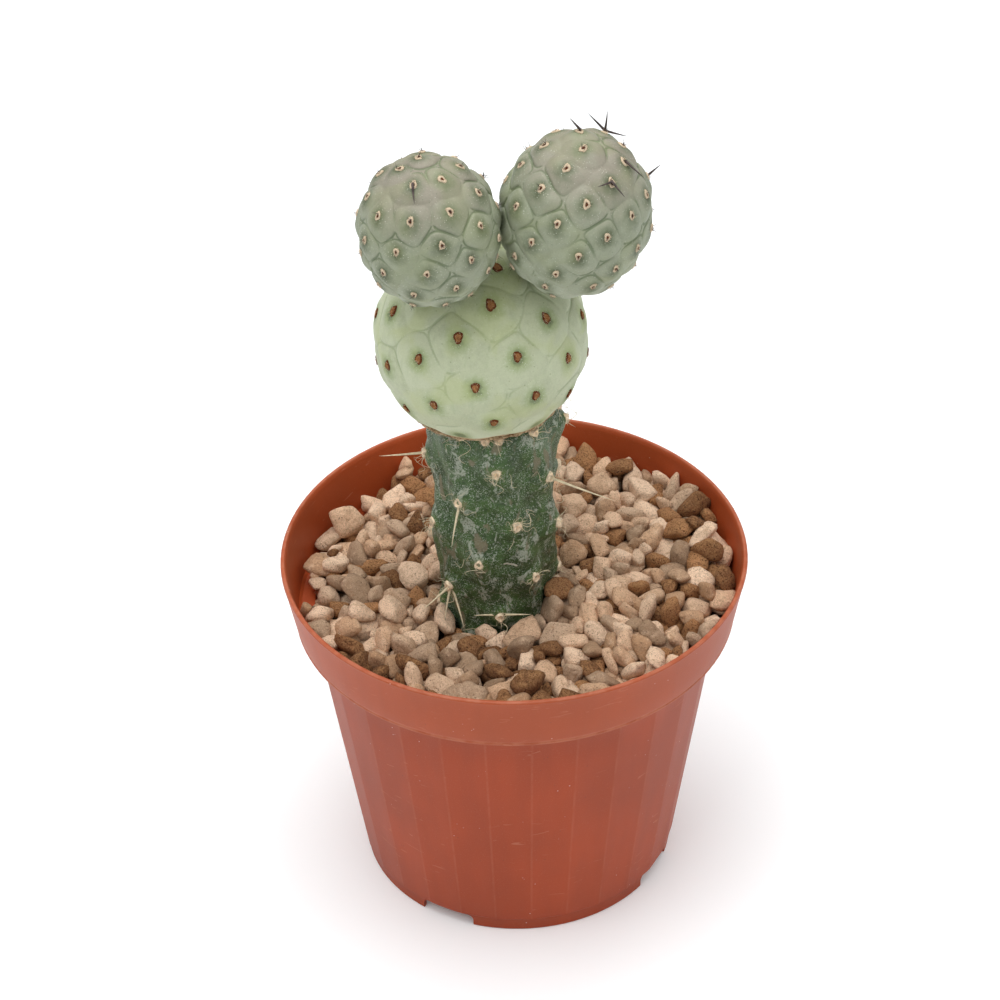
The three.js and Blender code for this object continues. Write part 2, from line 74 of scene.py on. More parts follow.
class Signal:
    """A shader socket that takes part in Python arithmetic."""

    def __init__(self, finish, socket):
        self.finish = finish
        self.socket = socket

    def math(self, operation, *values):
        return self.finish.node("ShaderNodeMath", {"operation": operation}, values)

    def __add__(self, other):
        return self.math("ADD", self, other)

    def __radd__(self, other):
        return self.math("ADD", other, self)

    def __sub__(self, other):
        return self.math("SUBTRACT", self, other)

    def __rsub__(self, other):
        return self.math("SUBTRACT", other, self)

    def __mul__(self, other):
        return self.math("MULTIPLY", self, other)

    def __rmul__(self, other):
        return self.math("MULTIPLY", other, self)


class Finish:
    """A material, its Principled shader, and the nodes that feed it."""

    def __init__(self, name, **constants):
        self.material = bpy.data.materials.new(name)
        self.material.use_nodes = True
        self.tree = self.material.node_tree
        self.tree.nodes.clear()
        self.shader = self.tree.nodes.new("ShaderNodeBsdfPrincipled")
        output = self.tree.nodes.new("ShaderNodeOutputMaterial")
        self.tree.links.new(self.shader.outputs[0], output.inputs[0])
        for socket, value in constants.items():
            self.shader.inputs[socket.replace("_", " ")].default_value = value
        place = self.node("ShaderNodeTexCoord", output="Object")
        settings = {"operation": "SCALE"}
        self.place = self.node("ShaderNodeVectorMath", settings, {0: place, "Scale": 1 / MM})

    def node(self, kind, settings=None, inputs=(), output=0):
        """Adds a node: its settings first, then the values or links of its sockets."""
        made = self.tree.nodes.new(kind)
        for key, value in (settings or {}).items():
            setattr(made, key, value)
        pairs = inputs.items() if isinstance(inputs, dict) else enumerate(inputs)
        for key, value in pairs:
            if isinstance(value, Signal):
                self.tree.links.new(value.socket, made.inputs[key])
            else:
                made.inputs[key].default_value = value
        return Signal(self, made.outputs[output])

    def mix(self, share, first, second):
        """The second colour over the first, by a share."""
        settings = {"data_type": "RGBA"}
        inputs = {0: share, 6: colour_of(first), 7: colour_of(second)}
        return self.node("ShaderNodeMix", settings, inputs, 2)

    def axis(self, name):
        """One coordinate of the place, in millimetres."""
        return self.node("ShaderNodeSeparateXYZ", None, [self.place], name)

    def stretched(self, factors):
        """The place with its three directions stretched."""
        return self.node("ShaderNodeVectorMath", {"operation": "MULTIPLY"}, [self.place, factors])

    def noise(self, per_mm, detail=3.0, roughness=0.55, distortion=0.0, place=None):
        """Noise from 0 to 1, with so many waves to the millimetre."""
        inputs = {
            "Vector": place or self.place,
            "Scale": per_mm,
            "Detail": detail,
            "Roughness": roughness,
            "Distortion": distortion,
        }
        return self.node("ShaderNodeTexNoise", None, inputs)

    def cells(self, per_mm, place=None):
        """Distance to the nearest of scattered points, with so many to the millimetre."""
        inputs = {"Vector": place or self.place, "Scale": per_mm}
        return self.node("ShaderNodeTexVoronoi", None, inputs, "Distance")

    def ramp(self, value, low, high, to_low=0.0, to_high=1.0):
        """A smooth step from one value at low to another at high."""
        settings = {"interpolation_type": "SMOOTHSTEP"}
        return self.node("ShaderNodeMapRange", settings, [value, low, high, to_low, to_high])

    def attribute(self, name):
        """A value that the piece's mesh keeps for each point."""
        return self.node("ShaderNodeAttribute", {"attribute_name": name}, output="Fac")

    def finish(self, colour, roughness, height=None):
        """Feeds the shader. The height is in millimetres."""
        self.tree.links.new(colour.socket, self.shader.inputs["Base Color"])
        if isinstance(roughness, Signal):
            self.tree.links.new(roughness.socket, self.shader.inputs["Roughness"])
        else:
            self.shader.inputs["Roughness"].default_value = roughness
        if height is not None:
            inputs = {"Strength": 1.0, "Distance": MM, "Height": height}
            normal = self.node("ShaderNodeBump", None, inputs)
            self.tree.links.new(normal.socket, self.shader.inputs["Normal"])
        return self.material


def colour_of(value):
    """A colour socket's value: a link, or a colour with its alpha."""
    if isinstance(value, Signal):
        return value
    return (*tuple(value)[:3], 1.0)


# ---------------------------------------------------------------- settings


def colour_property(name, description, default):
    return FloatVectorProperty(
        name=name, description=description, default=default, subtype="COLOR", min=0, max=1
    )


def number_property(name, description, default):
    return FloatProperty(name=name, description=description, default=default)


def length_property(name, description, default):
    return FloatProperty(
        name=name, description=description, default=default * MM, unit="LENGTH", min=0
    )


def angle_property(name, description, default):
    return FloatProperty(
        name=name, description=description, default=math.radians(default), subtype="ANGLE"
    )


class PotSettings(bpy.types.PropertyGroup):
    """Sizes and colour of the nursery pot."""

    wall: length_property("Wall", "Thickness of the moulded wall", 1.2)
    band_height: length_property("Band height", "Plain band under the lip", 14.5)
    band_foot_radius: length_property("Band foot radius", "Outside, at the band's foot", 49.8)
    body_top_radius: length_property("Body top radius", "Outside, under the band", 46.4)
    body_foot_radius: length_property("Body foot radius", "Outside, at the foot ring", 36.3)
    body_sides: IntProperty(name="Sides", description="Flat facets round the body", default=28)
    body_turn: angle_property("Turn", "From the front to the first facet edge", 4)
    foot_height: length_property("Foot height", "Base plate above the ground", 3.4)
    notch_width: length_property("Notch width", "Gaps in the foot ring", 13)
    notch_turn: angle_property("Notch turn", "From the front to the first notch", -28)
    colour: colour_property("Plastic", "Terracotta-coloured plastic", (0.345, 0.046, 0.007))


class GravelSettings(bpy.types.PropertyGroup):
    """The top dressing of pumice and lava."""

    stones: IntProperty(name="Stones", description="Loose stones that are poured", default=800)
    lava_share: number_property("Lava share", "Share of stones that are lava", 0.2)
    smallest: length_property("Smallest", "Length of the smallest stones", 4.0)
    largest: length_property("Largest", "Length of the largest stones", 9.8)
    level: length_property("Level", "Height of the gravel on the pot's axis", 75.3)
    slope_x: number_property("Slope X", "Rise to the right", 0.068)
    slope_y: number_property("Slope Y", "Rise to the back", 0.05)
    seed: IntProperty(name="Seed", description="Seed of the pour", default=7)
    pumice: colour_property("Pumice", "Tan pumice", (0.61, 0.44, 0.305))
    lava: colour_property("Lava", "Reddish-brown lava", (0.36, 0.165, 0.07))


class PlantSettings(bpy.types.PropertyGroup):
    """The rootstock and the segments grafted on it."""

    rib_count: IntProperty(name="Ribs", description="Ribs of the rootstock", default=8)
    areole_step: length_property("Areole step", "Between areoles down a rib", 15.6)
    rib_twist: angle_property("Rib twist", "Turn of a rib over one step", 17.5)
    first_turn: angle_property("First turn", "From the front to the first areole", 1.9)
    first_drop: length_property("First drop", "First areole below the top of the stock", 8.9)
    stem_skin: colour_property("Rootstock", "Dark green skin", (0.050, 0.104, 0.028))
    pale_skin: colour_property("Lower segment", "Pale yellow-green skin", (0.46, 0.50, 0.33))
    grey_skin: colour_property("Upper segments", "Grey-green skin", (0.285, 0.310, 0.215))
    halo: colour_property("Halo", "Green round an areole", (0.100, 0.125, 0.060))
    blush: colour_property("Blush", "Purplish tint of young skin", (0.275, 0.235, 0.19))
    wool: colour_property("Wool", "Cream wool of the areoles", (0.85, 0.68, 0.48))
    felt: colour_property("Felt", "Orange-brown felt of old areoles", (0.52, 0.25, 0.10))
    bristle: colour_property("Bristle", "Reddish-brown bristles", (0.16, 0.045, 0.015))
    straw: colour_property("Straw", "Spines of the rootstock", (0.72, 0.62, 0.42))
    dark: colour_property("Dark", "Spines of the upper segments", (0.075, 0.055, 0.05))


def segment_settings(name, title, **defaults):
    """A group of settings for one segment: its spheroid and the spiral of its areoles."""
    fields = {
        "radius": length_property("Radius", "Across the middle", defaults["radius"]),
        "half_length": length_property("Half length", "Along the axis", defaults["half_length"]),
        "lean": angle_property("Lean", "Axis from the vertical", defaults["lean"]),
        "heading": angle_property("Heading", "Lean's direction from +X", defaults["heading"]),
        "areoles": number_property("Areoles", "Over the whole spheroid", defaults["areoles"]),
        "offset": number_property("Offset", "Steps from crown to first", defaults["offset"]),
        "first_turn": angle_property("First turn", "Of the first areole", defaults["first_turn"]),
        "divergence": angle_property("Divergence", "Between areoles", defaults["divergence"]),
        "lean_x": angle_property("Spiral lean X", "Of the spiral's crown", defaults["lean_x"]),
        "lean_y": angle_property("Spiral lean Y", "Of the spiral's crown", defaults["lean_y"]),
    }
    group = {"__doc__": title, "__annotations__": fields}
    return type(name, (bpy.types.PropertyGroup,), group)


LowerSettings = segment_settings(
    "LowerSettings", "The lower segment.",
    radius=22.8, half_length=22.2, lean=0, heading=0, areoles=55.2, offset=0.2,
    first_turn=349.5, divergence=138.8, lean_x=-3.6, lean_y=-10.8,
)
LeftSettings = segment_settings(
    "LeftSettings", "The upper left segment.",
    radius=14.7, half_length=16.4, lean=8.86, heading=-126.3, areoles=55.5, offset=0.05,
    first_turn=343.9, divergence=132.5, lean_x=-7.3, lean_y=-15.3,
)
RightSettings = segment_settings(
    "RightSettings", "The upper right segment.",
    radius=15.8, half_length=18.1, lean=11.04, heading=-19.3, areoles=60.3, offset=0.17,
    first_turn=267.1, divergence=139.4, lean_x=-25.1, lean_y=-20,
)


class StageSettings(bpy.types.PropertyGroup):
    """Camera and light."""

    distance: length_property("Distance", "Camera to the middle of the rim", 735)
    elevation: angle_property("Elevation", "Camera above the horizon", 37.99)
    pan: angle_property("Pan", "Aim to the left of the rim's middle", 0.228)
    tilt: angle_property("Tilt", "Aim above the rim's middle", 0.892)
    roll: angle_property("Roll", "Turn about the line of sight", -1.02)
    lens: FloatProperty(name="Lens", description="Focal length", default=117.7, unit="CAMERA")


class CactusSettings(bpy.types.PropertyGroup):
    """All the settings of the potted cactus."""

    pot: PointerProperty(type=PotSettings)
    gravel: PointerProperty(type=GravelSettings)
    plant: PointerProperty(type=PlantSettings)
    lower: PointerProperty(type=LowerSettings)
    left: PointerProperty(type=LeftSettings)
    right: PointerProperty(type=RightSettings)
    stage: PointerProperty(type=StageSettings)


# ---------------------------------------------------------------- mesh tools


def mesh_object(name, points, faces, finish=None, **values):
    """A smooth mesh object from points in millimetres, faces and named values of the points."""
    mesh = bpy.data.meshes.new(name)
    mesh.from_pydata((np.asarray(points, float) * MM).tolist(), [], faces)
    mesh.polygons.foreach_set("use_smooth", [True] * len(mesh.polygons))
    for key, value in values.items():
        store(mesh, key, value)
    if finish:
        mesh.materials.append(finish)
    made = bpy.data.objects.new(name, mesh)
    bpy.context.scene.collection.objects.link(made)
    return made


def store(mesh, name, value):
    """Keeps one number or vector for each point under a name."""
    value = np.asarray(value, float)
    if value.ndim == 1:
        mesh.attributes.new(name, "FLOAT", "POINT").data.foreach_set("value", value)
    else:
        layer = mesh.attributes.new(name, "FLOAT_VECTOR", "POINT")
        layer.data.foreach_set("vector", value.ravel())


def settle(piece, slot, *nodes):
    """Tells the frame what a finished piece rides on, is made of and stands for."""
    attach(piece, "root")
    if nodes:
        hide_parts(*nodes)


def baked(made):
    """The object's modifiers turned into its plain mesh."""
    bpy.context.view_layer.update()
    graph = bpy.context.evaluated_depsgraph_get()
    mesh = bpy.data.meshes.new_from_object(made.evaluated_get(graph))
    made.modifiers.clear()
    made.data = mesh
    mesh.name = made.name
    return made


def drop(*objects):
    """Removes helper objects with their meshes."""
    for helper in objects:
        data = helper.data
        bpy.data.objects.remove(helper)
        if data and not data.users:
            bpy.data.meshes.remove(data)


def ring_faces(rows, columns):
    """Quads of a closed band of rows, each row a ring of points."""
    faces = []
    for row in range(rows - 1):
        low = row * columns
        high = low + columns
        for i in range(columns):
            j = (i + 1) % columns
            faces.append((low + i, low + j, high + j, high + i))
    return faces


def fan(columns, first, middle, upward):
    """Triangles between a ring and its middle point."""
    pairs = [(first + i, first + (i + 1) % columns) for i in range(columns)]
    return [(a, b, middle) if upward else (b, a, middle) for a, b in pairs]


def capped(rows, columns, inward=False):
    """Faces of rows of points closed at both ends by two middle points, listed last."""
    count = rows * columns
    faces = ring_faces(rows, columns)
    if inward:
        faces = [face[::-1] for face in faces]
    first = fan(columns, 0, count, inward)
    return faces + first + fan(columns, count - columns, count + 1, not inward)


def gathered(shapes):
    """Points and faces of several shapes as those of one."""
    points, faces = [], []
    count = 0
    for more, quads in shapes:
        points.append(more)
        faces += [tuple(i + count for i in face) for face in quads]
        count += len(more)
    return np.concatenate(points), faces


def around(radius, turn, z):
    """Points at a radius and a turn from the front, counted towards +X, in radians."""
    radius, turn, z = np.broadcast_arrays(radius, turn, z)
    return np.stack([radius * np.sin(turn), -radius * np.cos(turn), z], -1)


def smoothstep(value, low, high):
    share = np.clip((value - low) / (high - low), 0, 1)
    return share * share * (3 - 2 * share)


def unit(vectors):
    return vectors / np.linalg.norm(vectors, axis=-1, keepdims=True)


def grain(points, per_mm, seed=0.0):
    """Soft noise from about -1 to 1 at each point."""
    shifted = np.asarray(points) * per_mm + seed
    return np.array([noise.noise(Vector(p)) for p in shifted.tolist()])


def node_points(name):
    """The different corners of a CAD node, in millimetres."""
    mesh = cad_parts[name].data
    points = np.empty(len(mesh.vertices) * 3)
    mesh.vertices.foreach_get("co", points)
    return np.unique(points.reshape(-1, 3).round(7), axis=0) / MM


def node_box(name):
    low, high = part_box(name)
    return np.array(low) / MM, np.array(high) / MM


def stem_axis():
    """The middle of the rootstock's top, brought down to the ground."""
    low, high = node_box("graft_callus")
    return np.array([*(low + high)[:2] / 2, 0])


def copy_of_node(name):
    """A new object with a CAD node's mesh, its loose triangles joined up."""
    made = bpy.data.objects.new(name + "_copy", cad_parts[name].data.copy())
    bpy.context.scene.collection.objects.link(made)
    shape = bmesh.new()
    shape.from_mesh(made.data)
    bmesh.ops.remove_doubles(shape, verts=shape.verts, dist=1e-7)
    shape.to_mesh(made.data)
    shape.free()
    made.data.materials.clear()
    return made


def joined(name, objects):
    """One object from several, without their helpers left over."""
    shape = bmesh.new()
    for part in objects:
        shape.from_mesh(part.data)
    mesh = bpy.data.meshes.new(name)
    shape.to_mesh(mesh)
    shape.free()
    made = bpy.data.objects.new(name, mesh)
    bpy.context.scene.collection.objects.link(made)
    drop(*objects)
    return made


# ---------------------------------------------------------------- pot


def plastic_finish(colour, band):
    """Semi-matt moulded polypropylene with fine grain, flow marks, dust and scuffs."""
    finish = Finish("terracotta_plastic", Specular_IOR_Level=0.30, IOR=1.49)
    colour = np.array(colour[:3])
    broad = finish.noise(0.035, 2)
    flow = finish.noise(0.25, 3, place=finish.stretched((1, 1, 0.06)))
    base = finish.mix(finish.ramp(broad, 0.3, 0.7), colour * 0.90, colour * 1.10)
    base = finish.mix(finish.ramp(flow, 0.35, 0.75) * 0.35, base, colour * 0.78)
    fine = finish.noise(4.5, 2)
    base = finish.mix(finish.ramp(fine, 0.55, 0.8) * 0.25, base, (0.56, 0.22, 0.12))
    dust = finish.ramp(finish.cells(0.42), 0.075, 0.03)
    dust = dust * finish.ramp(finish.noise(0.09, 1), 0.5, 0.62)
    base = finish.mix(dust * 0.75, base, (0.80, 0.66, 0.58))
    dirt = finish.ramp(finish.cells(0.3, place=finish.stretched((1.1, 0.9, 1))), 0.06, 0.03)
    base = finish.mix(dirt * 0.6, base, (0.10, 0.03, 0.015))
    lines = finish.noise(0.55, 2, 0.5, 1.5, finish.stretched((0.25, 0.25, 1.4)))
    scuffs = finish.ramp(lines, 0.66, 0.7) * finish.ramp(finish.noise(0.05, 1), 0.52, 0.6)
    base = finish.mix(scuffs * 0.25, base, (0.66, 0.33, 0.22))
    # Painted light: the band is tinted lighter than the body, standing in for the top light it
    # catches.
    high = finish.ramp(finish.axis("Z"), band - 0.5, band + 1.5)
    base = finish.mix(high * 0.14, base, (0.66, 0.19, 0.07))
    # Painted highlight: thin lighter lines at the facet corners, the band's foot, the lip and the
    # top of the foot ring, broken up by noise.
    worn = finish.attribute("edge") * (0.35 + 0.65 * finish.ramp(finish.noise(0.3, 3), 0.35, 0.6))
    base = finish.mix(worn, base, (0.60, 0.26, 0.16))
    roughness = 0.43 + finish.ramp(fine, 0.2, 0.8) * 0.10 + scuffs * 0.2 + dust * 0.3
    height = finish.noise(2.2, 3) * 0.012 + broad * 0.12 + flow * 0.015 - scuffs * 0.01
    return finish.finish(base, roughness, height)


def facet_columns(sides, turn, ease=math.radians(0.55)):
    """Column angles round the pot, and how far each lies from its facet's middle."""
    half = math.pi / sides
    offsets = [-half, -half + ease, -half / 2, 0.0, half / 2, half - ease]
    turns = [turn + (2 * k + 1) * half + offset for k in range(sides) for offset in offsets]
    return np.array(turns), np.array(offsets * sides)


class PotSection:
    """Outside radii of the pot's body and band by height, and its main heights."""

    def __init__(self, sizes):
        self.rim, _, self.height = node_box("pot")[1]
        self.wall = sizes.wall / MM
        self.foot = sizes.foot_height / MM
        self.floor = self.foot + self.wall
        self.band = self.height - sizes.band_height / MM
        self.low, self.top = sizes.body_foot_radius / MM, sizes.body_top_radius / MM
        self.band_foot = sizes.band_foot_radius / MM
        self.ring = self.low * math.cos(math.pi / sizes.body_sides)

    def body(self, z):
        return self.low + (self.top - self.low) * z / self.band

    def cuff(self, z):
        share = (z - self.band) / (self.height - self.band)
        return self.band_foot + (self.rim - self.band_foot) * share


def pot_profile(pot):
    """The pot's section from the middle of its underside to the middle of its floor.

    Each point is a radius, a height and how faceted the wall is there."""
    wall, foot, floor, band = pot.wall, pot.foot, pot.floor, pot.band
    ring, body, cuff, height = pot.ring, pot.body, pot.cuff, pot.height
    outside = [(body(z), z, 1) for z in np.linspace(foot + 0.5, band - 0.6, 9)]
    cuff_wall = [(cuff(z), z, 0) for z in (band + 1.5, band + 5, height - 5, height - 1.3)]
    inside = [(cuff(z) - wall, z, 0) for z in (height - 1.3, height - 5, band + 5, band + 1.9)]
    lining = [(body(z) - wall, z, 1) for z in np.linspace(band + 0.6, floor + 0.7, 7)]
    return [
        (ring - wall, foot, 0),
        (ring - wall, 0.3, 0),
        (ring - wall + 0.25, 0, 0),
        (ring - 0.25, 0, 0),
        (ring, 0.3, 0),
        (ring + 0.02, foot - 0.25, 0),
        (ring + 0.12, foot - 0.05, 0),
        *outside,
        (body(band) + 0.05, band - 0.2, 1),
        (body(band) + 0.35, band, 0.6),
        (cuff(band) - 0.25, band, 0),
        (cuff(band) + 0.03, band + 0.08, 0),
        (cuff(band) + 0.12, band + 0.25, 0),
        (cuff(band) + 0.12, band + 0.5, 0),
        (cuff(band) + 0.03, band + 0.75, 0),
        *cuff_wall,
        (cuff(height) - 0.12, height - 0.85, 0),
        (pot.rim, height - 0.55, 0),
        (pot.rim - 0.12, height - 0.2, 0),
        (pot.rim - 0.45, height, 0),
        (pot.rim - 0.85, height - 0.05, 0),
        (pot.rim - 1.15, height - 0.4, 0),
        *inside,
        (cuff(band) - wall - 0.3, band + wall + 0.05, 0),
        (body(band) - wall + 0.3, band + wall, 0.6),
        *lining,
        (body(floor) - wall - 0.6, floor, 1),
    ]


def extruded(outline, depth, place):
    """A prism from a flat outline, placed by a matrix, as a helper object."""
    count = len(outline)
    points = [(x, y, z) for z in (0, depth) for x, y in outline]
    faces = [(i, (i + 1) % count, (i + 1) % count + count, i + count) for i in range(count)]
    faces += [tuple(range(count))[::-1], tuple(range(count, 2 * count))]
    made = mesh_object("cutter", points, faces)
    made.data.transform(Matrix.Diagonal((1 / MM,) * 3 + (1,)))
    made.data.transform(place)
    made.data.transform(Matrix.Diagonal((MM,) * 3 + (1,)))
    return made


def rounded_outline(width, height, radius, steps=5):
    """A rectangle with round corners about the origin."""
    corners = [(1, 1, 0), (-1, 1, 90), (-1, -1, 180), (1, -1, 270)]
    outline = []
    for x, y, start in corners:
        for i in range(steps + 1):
            angle = math.radians(start + 90 * i / steps)
            outline.append((
                x * (width / 2 - radius) + radius * math.cos(angle),
                y * (height / 2 - radius) + radius * math.sin(angle),
            ))
    return outline


def drainage_cutters(sizes, section):
    """The notches in the foot ring and the slots and hole in the base plate."""
    ring = section.ring
    width = sizes.notch_width / MM
    high = section.foot - 0.4
    upright = Matrix.Rotation(math.pi / 2, 4, "X")
    cutters = []
    for quarter in range(4):
        turn = Matrix.Rotation(sizes.notch_turn + quarter * math.pi / 2, 4, "Z")
        notch = rounded_outline(width, 2 * high, 1.4)
        cutters.append(extruded(notch, 8, turn @ Matrix.Translation((0, 4 - ring, 0)) @ upright))
        slot = rounded_outline(9, 3.6, 1.79)
        cutters.append(extruded(slot, 4, turn @ Matrix.Translation((0, -24, high - 1))))
    hole = rounded_outline(3.6, 3.6, 1.79)
    cutters.append(extruded(hole, 4, Matrix.Translation((0, 0, high - 1))))
    return cutters


def make_pot(sizes):
    """The moulded pot: faceted body, plain band, rolled lip, foot ring and drainage."""
    section = PotSection(sizes)
    profile = pot_profile(section)
    turns, offsets = facet_columns(sizes.body_sides, sizes.body_turn)
    half = math.pi / sizes.body_sides
    facet = math.cos(half) / np.cos(offsets)
    facet[offsets == -half] -= 0.0006
    # The edge value marks where highlight lines are painted: each facet's corner, the band's foot,
    # the lip and the top of the foot ring.
    corner = np.where(offsets == -half, 0.11, 0.0)
    rows, edges = [], []
    for radius, z, faceted in profile:
        rows.append(around(radius * (1 + faceted * (facet - 1)), turns, z))
        outside = radius > section.body(z) - 0.4
        trim = (abs(z - section.band - 0.5) < 0.4 or z > section.height - 0.3) * 0.32
        trim += (abs(z - section.foot + 0.15) < 0.16) * 0.3
        edges.append((corner * (faceted == 1) + trim) * outside)
    points = np.concatenate([*rows, [[0, 0, profile[0][1]], [0, 0, profile[-1][1]]]])
    edge = np.concatenate([*edges, [0, 0]])
    finish = plastic_finish(sizes.colour, section.band)
    pot = mesh_object("nursery_pot", points, capped(len(profile), len(turns)), finish, edge=edge)
    cutters = drainage_cutters(sizes, section)
    for cutter in cutters:
        cut = pot.modifiers.new("cut", "BOOLEAN")
        cut.object = cutter
        cut.solver = "EXACT"
    baked(pot)
    drop(*cutters)
    pot.data.set_sharp_from_angle(angle=math.radians(32))
    settle(pot, "pot_plastic", "pot")


# ---------------------------------------------------------------- stones


def pumice_finish(colour):
    """Worn volcanic glass foam: chalky, tan, with dark grains and small open pores."""
    finish = Finish("pumice", Specular_IOR_Level=0.2)
    tone = finish.attribute("tone")
    warmth = finish.attribute("warmth")
    colour = np.array(colour[:3])
    dull, bright = colour * (0.52, 0.46, 0.40), colour * (1.50, 1.50, 1.53)
    base = finish.mix(finish.ramp(tone, -0.1, 0.9), dull, bright)
    base = finish.mix(finish.ramp(warmth, 0.35, 1) * 0.55, base, colour * (1.0, 0.76, 0.56))
    patch = finish.noise(0.42, 4, 0.6)
    base = finish.mix(finish.ramp(patch, 0.30, 0.52, 0.45, 0), base, colour * (0.62, 0.55, 0.48))
    base = finish.mix(finish.ramp(patch, 0.50, 0.75) * 0.5, base, colour * (1.32, 1.32, 1.32))
    rust = finish.ramp(finish.noise(0.55, 4, 0.65, 0.8), 0.57, 0.72)
    base = finish.mix(rust * 0.55, base, (0.33, 0.16, 0.07))
    grain_fine = finish.noise(3.4, 4, 0.75)
    hollows = finish.ramp(grain_fine, 0.36, 0.52, 0.55, 0)
    base = finish.mix(hollows, base, colour * (0.40, 0.34, 0.28))
    base = finish.mix(finish.ramp(grain_fine, 0.54, 0.72) * 0.45, base, colour * (1.5, 1.52, 1.55))
    pores = finish.ramp(finish.cells(1.5), 0.28, 0.12)
    pores = pores * finish.ramp(finish.noise(0.7, 2), 0.42, 0.58)
    specks = finish.ramp(finish.cells(2.3, place=finish.stretched((1.1, 1, 0.9))), 0.20, 0.10)
    specks = specks * finish.ramp(finish.noise(1.1, 1), 0.42, 0.55)
    base = finish.mix(pores * 0.6, base, (0.12, 0.07, 0.04))
    base = finish.mix(specks * 0.8, base, (0.05, 0.03, 0.022))
    height = finish.noise(1.2, 5, 0.68) * 0.55 + grain_fine * 0.14 - pores * 0.22
    return finish.finish(base, 0.95, height)


def lava_finish(colour):
    """Rough reddish-brown scoria, its bubbles worn open, with ochre crumbs."""
    finish = Finish("lava", Specular_IOR_Level=0.2)
    tone = finish.attribute("tone")
    colour = np.array(colour[:3])
    base = finish.mix(finish.ramp(tone, 0, 1), colour * 0.6, colour * (1.45, 1.55, 1.6))
    patch = finish.ramp(finish.noise(0.6, 5, 0.65), 0.42, 0.66)
    base = finish.mix(patch * 0.7, base, (0.46, 0.235, 0.10))
    grain_fine = finish.noise(2.8, 4, 0.75)
    base = finish.mix(finish.ramp(grain_fine, 0.35, 0.52, 0.75, 0), base, (0.035, 0.014, 0.008))
    base = finish.mix(finish.ramp(grain_fine, 0.55, 0.70) * 0.55, base, (0.50, 0.33, 0.19))
    bubbles = finish.ramp(finish.cells(1.3), 0.34, 0.12)
    bubbles = bubbles * finish.ramp(finish.noise(0.5, 2), 0.4, 0.6)
    base = finish.mix(bubbles * 0.7, base, (0.03, 0.012, 0.008))
    height = finish.noise(1.3, 5, 0.72) * 0.9 + grain_fine * 0.25 - bubbles * 0.3
    return finish.finish(base, 0.96, height)


def soil_finish(name):
    """Dark crumbly mix of peat and grit."""
    finish = Finish(name, Specular_IOR_Level=0.2)
    crumbs = finish.noise(0.9, 5, 0.7)
    base = finish.mix(finish.ramp(crumbs, 0.35, 0.7), (0.010, 0.006, 0.004), (0.055, 0.030, 0.017))
    grit = finish.ramp(finish.cells(0.9), 0.2, 0.1)
    base = finish.mix(grit * 0.35, base, (0.25, 0.16, 0.09))
    return finish.finish(base, 0.96, crumbs * 0.9)


def pebble(rng, directions, sharpness):
    """A worn stone that began with flat faces, from evenly spread directions."""
    axes = np.concatenate([np.eye(3), -np.eye(3)])
    faces = unit(np.concatenate([rng.normal(size=(14, 3)), axes]))
    reach = np.append(rng.uniform(0.70, 1.0, 14), np.full(6, 1.2))
    facing = np.clip(directions @ faces.T, 0, None) / reach
    return directions / ((facing**sharpness).sum(1) ** (1 / sharpness))[:, None]


def ball(subdivisions):
    """Points and faces of an even ball of radius one."""
    shape = bmesh.new()
    bmesh.ops.create_icosphere(shape, subdivisions=subdivisions, radius=1)
    points = np.array([v.co for v in shape.verts])
    faces = [tuple(v.index for v in face.verts) for face in shape.faces]
    shape.free()
    return unit(points), faces


def stone_prototypes(rng, count):
    """Stones one unit long, along their own X, Y and Z by length."""
    directions, faces = ball(3)
    shapes = []
    for _ in range(count):
        skin = pebble(rng, directions, rng.uniform(8, 15))
        seed = rng.uniform(0, 50)
        rough = 0.05 * grain(directions, 2.2, seed) + 0.025 * grain(directions, 5, seed)
        skin = skin * (1 + rough)[:, None]
        width = rng.uniform(0.62, 0.90)
        thickness = rng.uniform(0.46, 0.72)
        half = np.abs(skin).max(0)
        shapes.append((skin / half * (0.5, 0.5 * width, 0.5 * thickness), faces))
    return shapes


def surface(settings, x, y):
    """Height of the gravel, which slopes."""
    return settings.level / MM + settings.slope_x * x + settings.slope_y * y


def past_wall(pot, points, centre, turn):
    """How far a stone reaches past the inside of the pot."""
    points = points @ np.array(Euler(turn).to_matrix()).T + centre
    z = points[:, 2]
    inside = np.where(z < pot.band + pot.wall, pot.body(z), pot.cuff(z)) - pot.wall
    return (np.hypot(points[:, 0], points[:, 1]) - inside).max()


